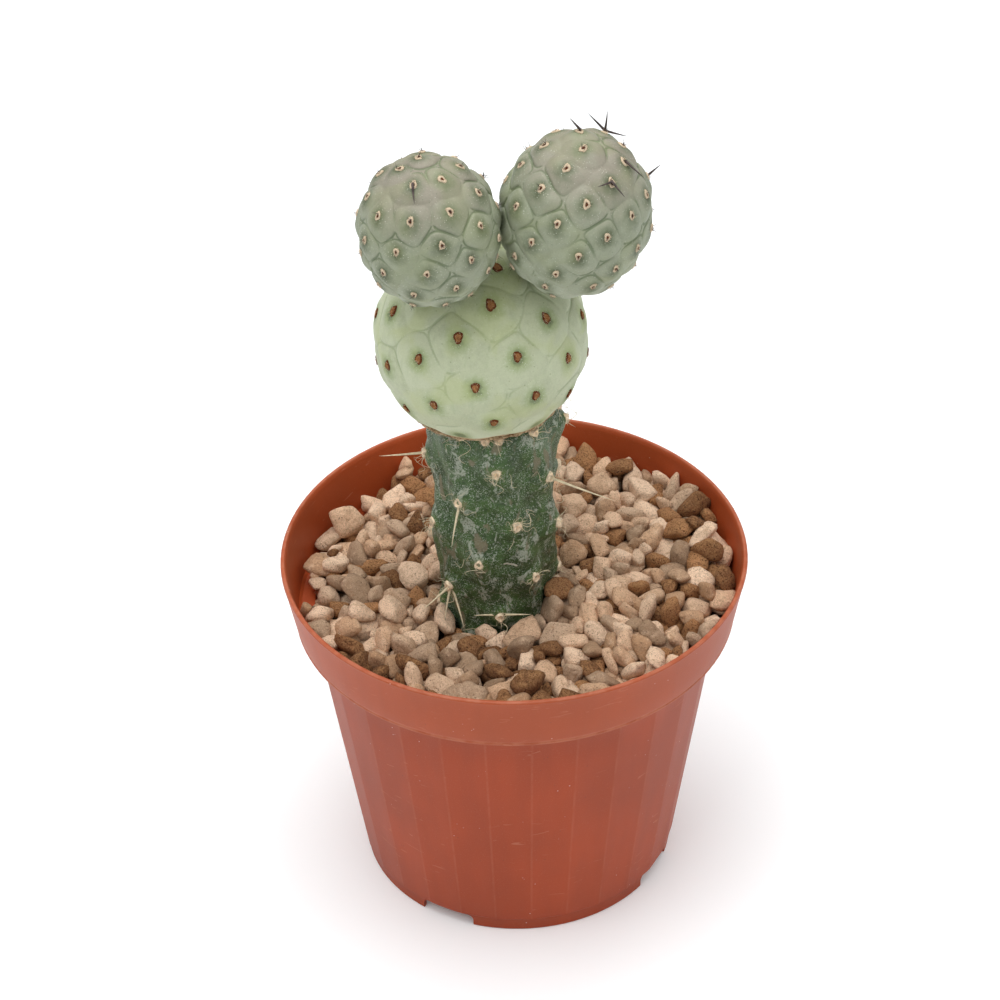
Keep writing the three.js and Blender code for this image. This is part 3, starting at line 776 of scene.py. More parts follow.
class Pour:
    """Loose stones dropped into the pot with rigid bodies and left to settle."""

    GOLDEN = 2.399963  # turn from one stone to the next that spreads a layer evenly
    SCALE = 0.05  # simulated metres to the millimetre
    LIFT = 6.5  # the lowest stones start this far above the gravel's level
    LAYER = 8.0  # between layers of falling stones
    SPACING = 8.8  # between the stones of a layer
    STEM = ((11.6, 60), (12.2, 78), (13.4, 100))  # its radius at some heights
    STEM_ROOM = 18.5  # from the stem's axis to the middles of the first stones
    BED = 5.2  # from the gravel's level down to the bed that stops the stones
    RING = 46  # small stones that begin beside the wall
    FRAMES = 70  # of the simulation

    def __init__(self, settings, section, hulls):
        self.settings = settings
        self.section = section
        self.hulls = hulls
        self.rng = np.random.default_rng(settings.seed)
        self.helpers = []

    def starts(self):
        """Where stones begin: a ring by the wall, then layers of a spiral grid."""
        stem = stem_axis()
        wall = self.section.cuff(self.section.height) - self.section.wall
        wanted = self.settings.stones
        places = []
        for i in range(self.RING):
            x, y, _ = around(wall - 4.0, 2 * math.pi * i / self.RING, 0)
            places.append((x, y, surface(self.settings, x, y) + self.LIFT))
        count = int(2 * math.pi * wall**2 / (math.sqrt(3) * self.SPACING**2))
        layer = 1
        while len(places) < wanted:
            for i in range(count):
                radius = (wall - 5.5) * math.sqrt((i + 0.5) / count)
                x, y, _ = around(radius, i * self.GOLDEN + 2.4 * layer, 0)
                if math.hypot(x - stem[0], y - stem[1]) > self.STEM_ROOM and len(places) < wanted:
                    z = surface(self.settings, x, y) + self.LIFT + layer * self.LAYER
                    places.append((x, y, z))
            layer += 1
        return np.array(places)

    def body(self, name, points, faces, kind, shape="CONVEX_HULL"):
        """A helper that takes part in the simulation."""
        made = mesh_object(name, np.asarray(points) * self.SCALE / MM, faces)
        self.helpers.append((made, kind, shape))
        return made

    def walls(self):
        """The pot's wall, the bed, the stem and the large stones, which don't move."""
        pot = self.section
        columns = 56
        turns = np.linspace(0, 2 * math.pi, columns, endpoint=False)
        step = pot.band + pot.wall
        low, rim, top = pot.floor + 40, pot.height, pot.height + 90
        radii = [(pot.body(low), low), (pot.body(step), step), (pot.cuff(step), step)]
        radii += [(pot.cuff(rim), rim), (pot.cuff(rim) + 1, top)]
        gap = pot.wall + 0.2
        inner = np.concatenate([around(radius - gap, turns, z) for radius, z in radii])
        outer = inner * (1.3, 1.3, 1)
        count = len(inner)
        faces = [face[::-1] for face in ring_faces(len(radii), columns)]
        faces += [tuple(i + count for i in face) for face in ring_faces(len(radii), columns)]
        self.body("wall", np.concatenate([inner, outer]), faces, "PASSIVE", "MESH")
        side = 60
        corners = [(x, y) for x in (-side, side) for y in (-side, side)]
        under = [(x, y, 30) for x, y in corners]
        over = [(x, y, surface(self.settings, x, y) - self.BED) for x, y in corners]
        cube = [(0, 1, 3, 2), (4, 6, 7, 5), (0, 4, 5, 1), (2, 3, 7, 6), (0, 2, 6, 4), (1, 5, 7, 3)]
        self.body("bed", under + over, cube, "PASSIVE")
        rows = [around(radius, turns, z) for radius, z in self.STEM]
        points = np.concatenate(rows) + stem_axis()
        self.body("stem", points, ring_faces(len(rows), columns), "PASSIVE")
        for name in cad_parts:
            if "_stone_" in name:
                points = node_points(name)
                self.body(name + "_hull", points, [(0, 1, 2)], "PASSIVE")

    def run(self):
        """Where each stone ends: its centre, its turning, its size and its shape."""
        starts = self.starts()
        count = len(starts)
        small, large = self.settings.smallest / MM, self.settings.largest / MM
        sizes = small + (large - small) * self.rng.beta(1.7, 2.4, count)
        sizes[: self.RING] = np.minimum(sizes[: self.RING], 0.6 * large)
        kinds = self.rng.integers(0, len(self.hulls), count)
        turns = self.rng.uniform(-math.pi, math.pi, (count, 3)) * (0.15, 0.15, 1)
        self.walls()
        movers = []
        for i, (place, size, kind) in enumerate(zip(starts, sizes, kinds)):
            points, faces = self.hulls[kind]
            stone = self.body(f"pour_{i}", points * size, faces, "ACTIVE")
            stone.rotation_euler = turns[i]
            stone.location = place * self.SCALE
            movers.append(stone)
        self.simulate()
        centres, ends = [], []
        graph = bpy.context.evaluated_depsgraph_get()
        for stone in movers:
            matrix = stone.evaluated_get(graph).matrix_world
            centres.append(np.array(matrix.translation) / self.SCALE)
            ends.append(tuple(matrix.to_euler()))
        self.clear()
        return np.array(centres), np.array(ends), sizes, kinds

    def simulate(self):
        """Lets the stones fall and come to rest."""
        scene = bpy.context.scene
        bpy.ops.rigidbody.world_add()
        world = scene.rigidbody_world
        world.collection = bpy.data.collections.new("pour")
        world.substeps_per_frame = 12
        world.solver_iterations = 14
        for made, kind, shape in self.helpers:
            world.collection.objects.link(made)
        bpy.context.view_layer.update()
        for made, kind, shape in self.helpers:
            body = made.rigid_body
            body.type = kind
            body.collision_shape = shape
            body.use_margin = True
            body.collision_margin = 0.004
            body.friction = 0.75
            body.restitution = 0
            body.linear_damping = 0.12
            body.angular_damping = 0.35
            if kind == "ACTIVE":
                body.mass = 0.5
        self.start = scene.frame_current
        world.point_cache.frame_start = 1
        world.point_cache.frame_end = self.FRAMES
        scene.gravity = (0, 0, -30)
        for step in range(1, self.FRAMES + 1):
            scene.frame_set(step)

    def clear(self):
        """Ends the simulation and removes its helpers."""
        scene = bpy.context.scene
        group = scene.rigidbody_world.collection
        bpy.ops.rigidbody.world_remove()
        drop(*[made for made, _, _ in self.helpers])
        bpy.data.collections.remove(group)
        scene.frame_set(self.start)
        scene.gravity = (0, 0, -9.81)


class NodeTree:
    """A geometry node group that is wired in Python."""

    def __init__(self, name, **inputs):
        self.tree = bpy.data.node_groups.new(name, "GeometryNodeTree")
        face = self.tree.interface
        face.new_socket("Geometry", in_out="OUTPUT", socket_type="NodeSocketGeometry")
        face.new_socket("Geometry", in_out="INPUT", socket_type="NodeSocketGeometry")
        self.keys = {}
        for label, kind in inputs.items():
            socket = face.new_socket(label.replace("_", " "), in_out="INPUT", socket_type=kind)
            self.keys[label] = socket.identifier
        self.start = self.tree.nodes.new("NodeGroupInput")
        self.end = self.tree.nodes.new("NodeGroupOutput")

    def value(self, label):
        return self.start.outputs[label.replace("_", " ")]

    def node(self, kind, settings=None, inputs=None, output=0):
        """Adds a node: its settings first, then the values or links of its sockets."""
        made = self.tree.nodes.new(kind)
        for key, value in (settings or {}).items():
            setattr(made, key, value)
        for key, value in (inputs or {}).items():
            if isinstance(value, bpy.types.NodeSocket):
                self.tree.links.new(value, made.inputs[key])
            else:
                made.inputs[key].default_value = value
        return made.outputs[output]

    def kept(self, kind, name):
        """A value that each point keeps under a name, which may be a socket."""
        return self.node("GeometryNodeInputNamedAttribute", {"data_type": kind}, {"Name": name})

    def close(self, instances):
        """Makes the instances real, gives them their finish and ends the group with them."""
        real = self.node("GeometryNodeRealizeInstances", None, {0: instances})
        inputs = {0: real, "Material": self.value("Finish")}
        self.tree.links.new(self.node("GeometryNodeSetMaterial", None, inputs), self.end.inputs[0])
        return self

    def apply(self, made, **values):
        """Runs the group on an object and keeps the result as its plain mesh."""
        modifier = made.modifiers.new(self.tree.name, "NODES")
        modifier.node_group = self.tree
        for label, value in values.items():
            modifier[self.keys[label]] = value
        return baked(made)


def stone_tree():
    """Puts one of a collection's stones on each point, by the point's own values."""
    tree = NodeTree("lay_stones", Stones="NodeSocketCollection", Finish="NodeSocketMaterial")
    stones = tree.node(
        "GeometryNodeCollectionInfo",
        {"transform_space": "ORIGINAL"},
        {"Collection": tree.value("Stones"), "Separate Children": True, "Reset Children": True},
    )
    turn = tree.node("FunctionNodeEulerToRotation", None, {0: tree.kept("FLOAT_VECTOR", "turn")})
    laid = tree.node(
        "GeometryNodeInstanceOnPoints",
        None,
        {
            "Points": tree.value("Geometry"),
            "Instance": stones,
            "Pick Instance": True,
            "Instance Index": tree.kept("INT", "kind"),
            "Rotation": turn,
            "Scale": tree.kept("FLOAT", "size"),
        },
    )
    return tree.close(laid)


def lay_stones(name, tree, prototypes, places, finish):
    """One piece from many stones: places holds centres, turns, sizes, kinds, tones and warmths."""
    centres, turns, sizes, kinds, tones, warmths = places
    group = bpy.data.collections.new(name + "_shapes")
    helpers = []
    for i, (points, faces) in enumerate(prototypes):
        shape = mesh_object(f"{name}_shape_{i:02d}", points / MM, faces)
        bpy.context.scene.collection.objects.unlink(shape)
        group.objects.link(shape)
        helpers.append(shape)
    values = {"turn": turns, "size": sizes * MM, "tone": tones, "warmth": warmths}
    made = mesh_object(name, centres, [], **values)
    layer = made.data.attributes.new("kind", "INT", "POINT")
    layer.data.foreach_set("value", kinds.astype(np.int32))
    tree.apply(made, Stones=group, Finish=finish)
    drop(*helpers)
    bpy.data.collections.remove(group)
    made.data.polygons.foreach_set("use_smooth", [True] * len(made.data.polygons))
    return made


def make_large_stones(settings, finishes):
    """The large stones of the frame, as worn, many-faced stones of the same place and size."""
    directions, faces = ball(4)
    for kind, finish in finishes.items():
        names = sorted(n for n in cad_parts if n.startswith(f"{kind}_stone_"))
        stones, tones, warmths = [], [], []
        for i, name in enumerate(names):
            rng = np.random.default_rng(settings.seed * 100 + i)
            corners = node_points(name)
            middle = (corners.max(0) + corners.min(0)) / 2
            axes = np.linalg.svd(corners - middle)[2]
            half = np.abs((corners - middle) @ axes.T).max(0) + 0.35
            skin = pebble(rng, directions, rng.uniform(10, 18))
            skin = skin / np.abs(skin).max(0) * half
            skin = skin @ axes + middle
            rough = 0.22 if kind == "lava" else 0.10
            bumps = rough * (grain(skin, 0.5, i) + 0.6 * grain(skin, 1.3, i + 5))
            skin = skin + unit(skin - middle) * bumps[:, None]
            stones.append((skin, faces))
            tones.append(np.full(len(skin), rng.uniform(0.3, 1)))
            warmths.append(np.full(len(skin), rng.uniform(0, 0.7)))
        values = {"tone": np.concatenate(tones), "warmth": np.concatenate(warmths)}
        made = mesh_object(f"large_{kind}_stones", *gathered(stones), finish, **values)
        face_outward(made)
        settle(made, kind, *names)


def face_outward(made):
    """Turns every face of the closed mesh outward."""
    shape = bmesh.new()
    shape.from_mesh(made.data)
    bmesh.ops.recalc_face_normals(shape, faces=shape.faces)
    shape.to_mesh(made.data)
    shape.free()


def make_gravel(settings, section):
    """Pours the loose stones and lays them as pumice and lava pieces."""
    rng = np.random.default_rng(settings.seed + 1)
    shapes = stone_prototypes(rng, 22)
    coarse, faces = ball(1)
    hulls = []
    for points, _ in shapes:
        nearest = np.argmax(unit(points) @ coarse.T, axis=0)
        hulls.append((points[nearest], faces))
    centres, turns, sizes, kinds = Pour(settings, section, hulls).run()
    level = surface(settings, centres[:, 0], centres[:, 1])
    reach = np.array([
        past_wall(section, shapes[kind][0] * size, centre, turn)
        for centre, turn, size, kind in zip(centres, turns, sizes, kinds)
    ])
    over = centres[:, 2] - level
    kept = (reach < 0.7) & (over < 3) & (over > -9)
    # Painted shade: stones towards the front left get darker tones, for the pot wall's shadow; more
    # of them are lava there, partly real lava and partly more painted shade.
    front = smoothstep(-centres[:, 1], 10, 45) * smoothstep(centres[:, 0], 30, 0)
    tones = rng.uniform(0, 1, len(centres)) - 0.4 * front
    warmths = rng.uniform(0, 1, len(centres))
    patches = np.clip(1 + 1.8 * grain(centres, 0.06, 2) + 1.6 * front, 0, 3.5)
    is_lava = rng.uniform(0, 1, len(centres)) < settings.lava_share * patches
    places = (centres, turns, sizes, kinds, tones, warmths)
    tree = stone_tree()
    finishes = {"pumice": pumice_finish(settings.pumice), "lava": lava_finish(settings.lava)}
    parts = {
        "loose_pumice_left": ("pumice", kept & ~is_lava & (centres[:, 0] < 0)),
        "loose_pumice_right": ("pumice", kept & ~is_lava & (centres[:, 0] >= 0)),
        "loose_lava": ("lava", kept & is_lava),
    }
    for name, (kind, chosen) in parts.items():
        picked = [value[chosen] for value in places]
        settle(lay_stones(name, tree, shapes, picked, finishes[kind]), kind)
    make_large_stones(settings, finishes)


# ---------------------------------------------------------------- skin and wool finishes


def skin_finish(name, skin, settings, halo_colour, groove_shade, halo_size, blush, yellow):
    """Waxy skin: a green halo round each areole, fine lines between the tubercles, flecks."""
    finish = Finish(name, Specular_IOR_Level=0.35, Coat_Weight=0.04, Coat_Roughness=0.45)
    skin = np.array(skin[:3])
    areole = finish.attribute("areole")
    below = finish.attribute("below")
    groove = finish.attribute("groove")
    tone = finish.attribute("tone")
    crown = finish.attribute("crown")
    mottle = finish.noise(0.55, 4, 0.6)
    base = finish.mix(finish.ramp(mottle, 0.3, 0.7), skin * 0.90, skin * 1.08)
    base = finish.mix(finish.ramp(tone, 0, 1), base, skin * (1.10, 1.09, 1.12))
    streak = finish.noise(0.9, 3, 0.6, place=finish.stretched((1, 1, 0.25)))
    base = finish.mix(finish.ramp(streak, 0.5, 0.75) * 0.3, base, skin * (0.80, 0.86, 0.76))
    young = finish.ramp(crown + (mottle - 0.5) * 0.5, 0.25, 1.0) * blush
    base = finish.mix(young, base, settings.blush)
    ragged = areole + (finish.noise(1.1, 3, 0.6) - 0.5) * 1.4 - finish.ramp(below, 0, 2.5) * 0.7
    # Painted light: the skin turns paler towards the bottom of each segment, standing in for light
    # thrown up from below.
    painted_bounce_light = finish.ramp(crown + (mottle - 0.5) * 0.3, -0.25, -0.85)
    base = finish.mix(painted_bounce_light * 0.9, base, skin * (1.42, 1.39, 1.54))
    halo = finish.ramp(ragged, halo_size, halo_size * 0.22)
    base = finish.mix(halo * 0.80, base, halo_colour)
    deep = finish.ramp(ragged, halo_size * 0.48, halo_size * 0.2)
    base = finish.mix(deep * 0.6, base, np.array(settings.halo[:3]) * 0.6)
    # Painted shade: darker lines along the grooves between the tubercles.
    line = finish.ramp(groove + (finish.noise(2.2, 2) - 0.5) * 0.25, 0.3, 0.85)
    base = finish.mix(line * groove_shade, base, skin * (0.40, 0.50, 0.33))
    fine = finish.noise(3.0, 4, 0.75)
    base = finish.mix(finish.ramp(fine, 0.30, 0.50, 0.30, 0), base, skin * (0.62, 0.66, 0.60))
    base = finish.mix(finish.ramp(fine, 0.52, 0.72) * 0.30, base, skin * (1.35, 1.33, 1.38))
    flecks = finish.ramp(finish.cells(1.9), 0.20, 0.10)
    dusty = finish.ramp(areole, 4.5, 1.0) * 0.5
    dusty = dusty + finish.ramp(finish.noise(0.35, 2), 0.42, 0.6) * 0.6
    base = finish.mix(flecks * dusty * 0.8, base, (0.72, 0.73, 0.62))
    dots = finish.ramp(finish.cells(0.55, place=finish.stretched((1.1, 1, 0.9))), 0.10, 0.05)
    base = finish.mix(dots * 0.5, base, (0.09, 0.12, 0.05))
    bloom = finish.ramp(finish.noise(0.16, 3, 0.6, 0.6), 0.52, 0.7)
    base = finish.mix(bloom * 0.3, base, skin * (1.2, 1.2, 1.25))
    sallow = finish.ramp(finish.noise(0.11, 2, 0.5, 0.4), 0.48, 0.66)
    base = finish.mix(sallow * yellow, base, skin * (0.98, 1.0, 0.66))
    edge = finish.ramp(finish.attribute("joint") + (finish.noise(0.9, 3) - 0.5) * 0.9, 0.35, 0.6)
    base = finish.mix(edge * 0.9, base, (0.52, 0.36, 0.21))
    roughness = 0.52 + finish.ramp(mottle, 0.3, 0.7) * 0.1 + edge * 0.3
    height = mottle * 0.05 + fine * 0.05 + flecks * dusty * 0.03 + edge * 0.15 - line * 0.05
    return finish.finish(base, roughness, height)


def stem_finish(settings):
    """Dark green skin thick with pale flecks, silvery scuffs and worn, corky patches."""
    finish = Finish("rootstock_skin", Specular_IOR_Level=0.4)
    skin = np.array(settings.stem_skin[:3])
    ridge = finish.attribute("ridge")
    areole = finish.attribute("areole")
    cloud = finish.noise(0.22, 4, 0.6)
    base = finish.mix(finish.ramp(cloud, 0.35, 0.65), skin * 0.62, skin * 1.25)
    light = finish.ramp(finish.noise(0.8, 4, 0.65), 0.45, 0.72)
    base = finish.mix(light * 0.4, base, skin * (1.9, 1.55, 1.6))
    fleck = finish.ramp(finish.noise(3.0, 3, 0.75, 0.5), 0.545, 0.60)
    fleck = fleck * finish.ramp(finish.noise(0.30, 3, 0.6), 0.36, 0.58)
    base = finish.mix(fleck * 0.8, base, (0.54, 0.60, 0.50))
    point = finish.ramp(finish.cells(1.6), 0.22, 0.12) * finish.ramp(cloud, 0.30, 0.5)
    base = finish.mix(point * 0.8, base, (0.60, 0.64, 0.54))
    dark = finish.ramp(finish.noise(1.1, 4, 0.7), 0.46, 0.36)
    base = finish.mix(dark * 0.6, base, skin * 0.38)
    long = finish.stretched((1, 1, 0.6))
    scuff = finish.ramp(finish.noise(0.36, 4, 0.62, 0.9, long) + ridge * 0.07, 0.595, 0.65)
    wear = finish.ramp(finish.noise(1.9, 3, 0.7), 0.36, 0.54)
    base = finish.mix(scuff * wear * 0.85, base, (0.44, 0.47, 0.38))
    cork = finish.noise(0.28, 3, 0.5, 0.5, finish.stretched((1.2, 1, 0.5)))
    cork = finish.ramp(cork + ridge * 0.05, 0.63, 0.69)
    base = finish.mix(cork * 0.75, base, (0.24, 0.20, 0.13))
    base = finish.mix(finish.ramp(areole, 2.6, 1.1) * 0.4, base, skin * (2.6, 2.0, 1.8))
    scar = finish.ramp(finish.attribute("scar"), 0.35, 0.7)
    base = finish.mix(scar, base, (0.62, 0.60, 0.48))
    roughness = 0.44 + scuff * 0.25 + fleck * 0.15 + cork * 0.3
    height = light * 0.06 + fleck * 0.06 + scuff * 0.08 + scar * 0.2
    height = height + finish.noise(1.1, 4, 0.6) * 0.25
    return finish.finish(base, roughness, height)


def cushion_finish(name, heart, border, share):
    """Felt of an areole: a heart and a border of another colour."""
    finish = Finish(name, Specular_IOR_Level=0.15)
    heart, border = np.array(heart[:3]), np.array(border[:3])
    rim = finish.attribute("rim")
    fuzz = finish.noise(6, 3, 0.7)
    edge = finish.ramp(rim + (fuzz - 0.5) * 0.35, share, share + 0.27)
    inner = finish.mix(finish.ramp(fuzz, 0.35, 0.65), heart * 0.5, heart)
    outer = finish.mix(finish.ramp(fuzz, 0.3, 0.7), border * 0.6, border)
    return finish.finish(finish.mix(edge, inner, outer), 0.95, fuzz * 0.15)


def hair_finish(name, colour, spread):
    """Dry hairs and spines, uneven along their length."""
    finish = Finish(name, Specular_IOR_Level=0.3)
    colour = np.array(colour[:3])
    uneven = finish.noise(1.3, 2)
    base = finish.mix(finish.ramp(uneven, 0.3, 0.7), colour * (1 - spread), colour * (1 + spread))
    return finish.finish(base, 0.6)


def callus_finish():
    """Dry, corky scar tissue of the graft."""
    finish = Finish("graft_scar", Specular_IOR_Level=0.15)
    crust = finish.noise(1.4, 5, 0.7)
    base = finish.mix(finish.ramp(crust, 0.35, 0.65), (0.22, 0.11, 0.05), (0.62, 0.46, 0.28))
    return finish.finish(base, 0.9, crust * 0.5)


# ---------------------------------------------------------------- plant shapes


def cube_ball(steps):
    """An even ball of radius one in quads: the six sides of a cube, blown up."""
    share = np.tan(np.linspace(-math.pi / 4, math.pi / 4, steps + 1))
    u, v = (grid.ravel() for grid in np.meshgrid(share, share, indexing="ij"))
    one = np.ones_like(u)
    sides = [(one, u, v), (-one, v, u), (v, one, u), (u, -one, v), (u, v, one), (v, u, -one)]
    points = np.concatenate([np.stack(side, -1) for side in sides])
    row = steps + 1
    corner = (np.arange(steps)[:, None] * row + np.arange(steps)).ravel()
    quads = np.stack([corner, corner + row, corner + row + 1, corner + 1], -1)
    quads = np.concatenate([quads + side * row * row for side in range(6)])
    _, first, index = np.unique(points.round(6), axis=0, return_index=True, return_inverse=True)
    return unit(points[first]), index.ravel()[quads]


class Segment:
    """A round segment: a spheroid leaning on its own axis, with areoles in spirals."""

    def __init__(self, node, sizes):
        low, high = node_box(node)
        self.node = node
        self.half = np.array([sizes.radius, sizes.radius, sizes.half_length]) / MM
        lean = math.sin(sizes.lean)
        axis = Vector((lean * math.cos(sizes.heading), lean * math.sin(sizes.heading), 0))
        axis.z = math.cos(sizes.lean)
        self.turn = np.array(Vector((0, 0, 1)).rotation_difference(axis).to_matrix())
        reach = np.linalg.norm(self.turn[2] * self.half)
        self.centre = np.array([*(low + high)[:2] / 2, high[2] - reach])
        self.foot = low[2]
        self.grafted = self.foot > self.centre[2] - 0.9 * self.half[2]
        index = np.arange(int(sizes.areoles))
        height = 1 - 2 * (index + sizes.offset) / sizes.areoles
        spiral = around(np.sqrt(1 - height**2), sizes.first_turn + sizes.divergence * index, height)
        tilt = Matrix.Rotation(sizes.lean_y, 3, "Y") @ Matrix.Rotation(sizes.lean_x, 3, "X")
        self.areoles = spiral @ np.array(tilt).T

    def placed(self, local):
        return local @ self.turn.T + self.centre

    def normals(self, directions):
        """Outward normals, in the segment's own frame, of directions blown up to the spheroid."""
        return unit(directions / self.half)

    def contact(self, other):
        """Where the segment meets another, and the other's outward normal there."""
        ours, theirs = node_points(self.node), node_points(other.node)
        gaps = np.linalg.norm(ours[:, None] - theirs[None], axis=-1)
        near = np.exp(-((gaps.min(1) - gaps.min()) / 0.4) ** 2)
        point = (ours * near[:, None]).sum(0) / near.sum()
        local = (point - other.centre) @ other.turn
        return point, unit(local / other.half**2) @ other.turn.T


def make_segment(segment, steps, dome, groove_depth, join_to=None):
    """The segment's skin, with its tubercles, grooves and areole dimples."""
    directions, faces = cube_ball(steps)
    local = directions * segment.half
    warp = np.stack([grain(local, 0.16, seed) for seed in (3, 17, 31)], -1)
    warped = local + 1.0 * warp
    areoles = segment.areoles * segment.half
    sites = unit(segment.areoles + (0, 0, -0.07)) * segment.half
    gaps = np.linalg.norm(warped[:, None] - sites[None], axis=-1)
    order = np.argsort(gaps, axis=1)[:, :5]
    rows = np.arange(len(local))
    first = gaps[rows, order[:, 0]]
    edges = []
    for other in order.T[1:]:
        apart = np.linalg.norm(sites[order[:, 0]] - sites[other], axis=-1)
        edges.append((gaps[rows, other] ** 2 - first**2) / (2 * apart))
    soft = 1.9
    edge = -np.log(np.exp(-soft * np.array(edges)).sum(0)) / soft
    between = edges[0]
    del gaps
    reach = np.linalg.norm(local[:, None] - areoles[None], axis=-1)
    nearest = reach.argmin(1)
    areole = reach[rows, nearest]
    del reach
    out = segment.normals(segment.areoles)
    rise = unit(UP - out * out[:, 2:])
    below = -((local - areoles[nearest]) * rise[nearest]).sum(1)
    faint = smoothstep(grain(local, 0.11, 5), -0.45, 0.25)
    arch = smoothstep(-below, -1.5, 2.5)
    groove = np.exp(-(((edge - 0.10) / 0.26) ** 2)) * (0.2 + 0.8 * faint) * (0.35 + 0.65 * arch)
    rng = np.random.default_rng(len(sites))
    tones = rng.uniform(0, 1, len(sites))
    blend = smoothstep(between, -0.6, 0.6)
    tone = tones[order[:, 0]] * blend + tones[order[:, 1]] * (1 - blend)
    height = dome * (smoothstep(edge, -0.6, 3.4) - 0.5) - groove_depth * groove
    height -= 0.30 * np.exp(-((areole / 1.5) ** 2))
    height += 0.16 * grain(local, 0.13, 8) + 0.05 * grain(local, 0.45, 2)
    skin = segment.placed(local + segment.normals(directions) * height[:, None])
    joint = smoothstep(skin[:, 2], segment.foot + 1.1, segment.foot + 0.1)
    if join_to:
        point, normal = segment.contact(join_to)
        from_point = skin - point
        along = from_point @ normal
        aside = np.linalg.norm(from_point - along[:, None] * normal, axis=1)
        pull = smoothstep(aside, 4.6, 2.4) * (along < 8)
        skin = skin - normal * (1.6 * pull)[:, None]
        joint = joint * 0
    else:
        skin[:, 2] = np.maximum(skin[:, 2], segment.foot)
    facing = directions @ segment.areoles.T
    segment.seats = skin[facing.argmax(0)]
    values = {
        "groove": groove,
        "areole": np.minimum(areole, 9),
        "below": np.clip(below, -9, 9),
        "tone": tone,
        "crown": directions[:, 2],
        "joint": joint,
    }
    return mesh_object(segment.node.replace("scion_", ""), skin, faces.tolist(), **values)


def cushion(place, out, rise, width, height, bulge, seed):
    """One felt cushion: closed rings over the skin, with how near each point is to its rim."""
    side = np.cross(rise, out)
    profile = [(0.001, 0.30), (0.28, 0.42), (0.5, 0.8), (0.72, 1.0), (0.92, 0.62)]
    profile += [(1.05, 0.05), (0.9, -0.8)]
    columns = 18
    turns = np.linspace(0, 2 * math.pi, columns, endpoint=False)
    rows, rims = [], []
    for reach, lift in profile:
        wobble = 1 + 0.12 * np.sin(3 * turns + seed) + 0.06 * np.sin(5 * turns + 2 * seed)
        across = reach * wobble * width * np.cos(turns)
        along = reach * wobble * height * np.sin(turns)
        point = place + across[:, None] * side + along[:, None] * rise + bulge * lift * out
        rows.append(point)
        rims.append(np.full(columns, reach))
    points = np.concatenate([*rows, [place + bulge * 0.3 * out, place - bulge * out]])
    rim = np.concatenate([*rims, [0, 0.9]])
    faces = capped(len(profile), columns, inward=True)
    points = points + out * (0.10 * bulge * grain(points, 3.0, seed))[:, None]
    return points, faces, rim


def cushions(name, places, finish):
    """One piece from many cushions: each place is a point, two directions and three sizes."""
    made = [cushion(*place, seed) for seed, place in enumerate(places)]
    rim = np.concatenate([part[2] for part in made])
    heart = smoothstep(rim, 0.75, 0.45)
    border = smoothstep(rim, 0.45, 0.75) * (rim != 0.9)
    values = {"rim": rim, "heart": heart, "border": border}
    return mesh_object(name, *gathered([part[:2] for part in made]), finish, **values)


def strand(path, radii, sides):
    """Points and faces of a closed, tapered tube along a path."""
    path = np.asarray(path, float)
    along = unit(np.gradient(path, axis=0))
    aside = unit(np.cross(along, unit(np.array([0.31, 0.87, 0.38]))))
    other = np.cross(along, aside)
    turns = np.linspace(0, 2 * math.pi, sides, endpoint=False)
    ring = aside[:, None] * np.cos(turns)[:, None] + other[:, None] * np.sin(turns)[:, None]
    points = path[:, None] + ring * np.asarray(radii)[:, None, None]
    points = np.concatenate([points.reshape(-1, 3), path[:1], path[-1:]])
    return points, capped(len(path), sides)


def hair_tree():
    """Grows hairs on a mesh where a named value says so, leaning at random."""
    tree = NodeTree(
        "grow_hairs",
        Hair="NodeSocketObject",
        Where="NodeSocketString",
        Density="NodeSocketFloat",
        Seed="NodeSocketInt",
        Spread="NodeSocketFloat",
        Shortest="NodeSocketFloat",
        Longest="NodeSocketFloat",
        Finish="NodeSocketMaterial",
    )
    where = tree.kept("FLOAT", tree.value("Where"))
    times = {"operation": "MULTIPLY"}
    density = tree.node("ShaderNodeMath", times, {0: where, 1: tree.value("Density")})
    points = tree.node(
        "GeometryNodeDistributePointsOnFaces",
        {"distribute_method": "RANDOM"},
        {"Mesh": tree.value("Geometry"), "Density": density, "Seed": tree.value("Seed")},
    )
    upright = points.node.outputs["Rotation"]
    spread = tree.value("Spread")
    back = tree.node("ShaderNodeMath", times, {0: spread, 1: -1.0})
    low = tree.node("ShaderNodeCombineXYZ", None, {0: back, 1: back, 2: -math.pi})
    high = tree.node("ShaderNodeCombineXYZ", None, {0: spread, 1: spread, 2: math.pi})
    lean = tree.node(
        "FunctionNodeRandomValue",
        {"data_type": "FLOAT_VECTOR"},
        {0: low, 1: high, "Seed": tree.value("Seed")},
    )
    turn = tree.node("FunctionNodeEulerToRotation", None, {0: lean})
    turned = tree.node(
        "FunctionNodeRotateRotation", {"rotation_space": "LOCAL"}, {0: upright, 1: turn}
    )
    length = tree.node(
        "FunctionNodeRandomValue",
        {"data_type": "FLOAT"},
        {2: tree.value("Shortest"), 3: tree.value("Longest"), "Seed": tree.value("Seed")},
        1,
    )
    hair = tree.node("GeometryNodeObjectInfo", None, {0: tree.value("Hair")})
    hair = hair.node.outputs["Geometry"]
    hairs = tree.node(
        "GeometryNodeInstanceOnPoints",
        None,
        {"Points": points, "Instance": hair, "Rotation": turned, "Scale": length},
    )
    return tree.close(hairs)


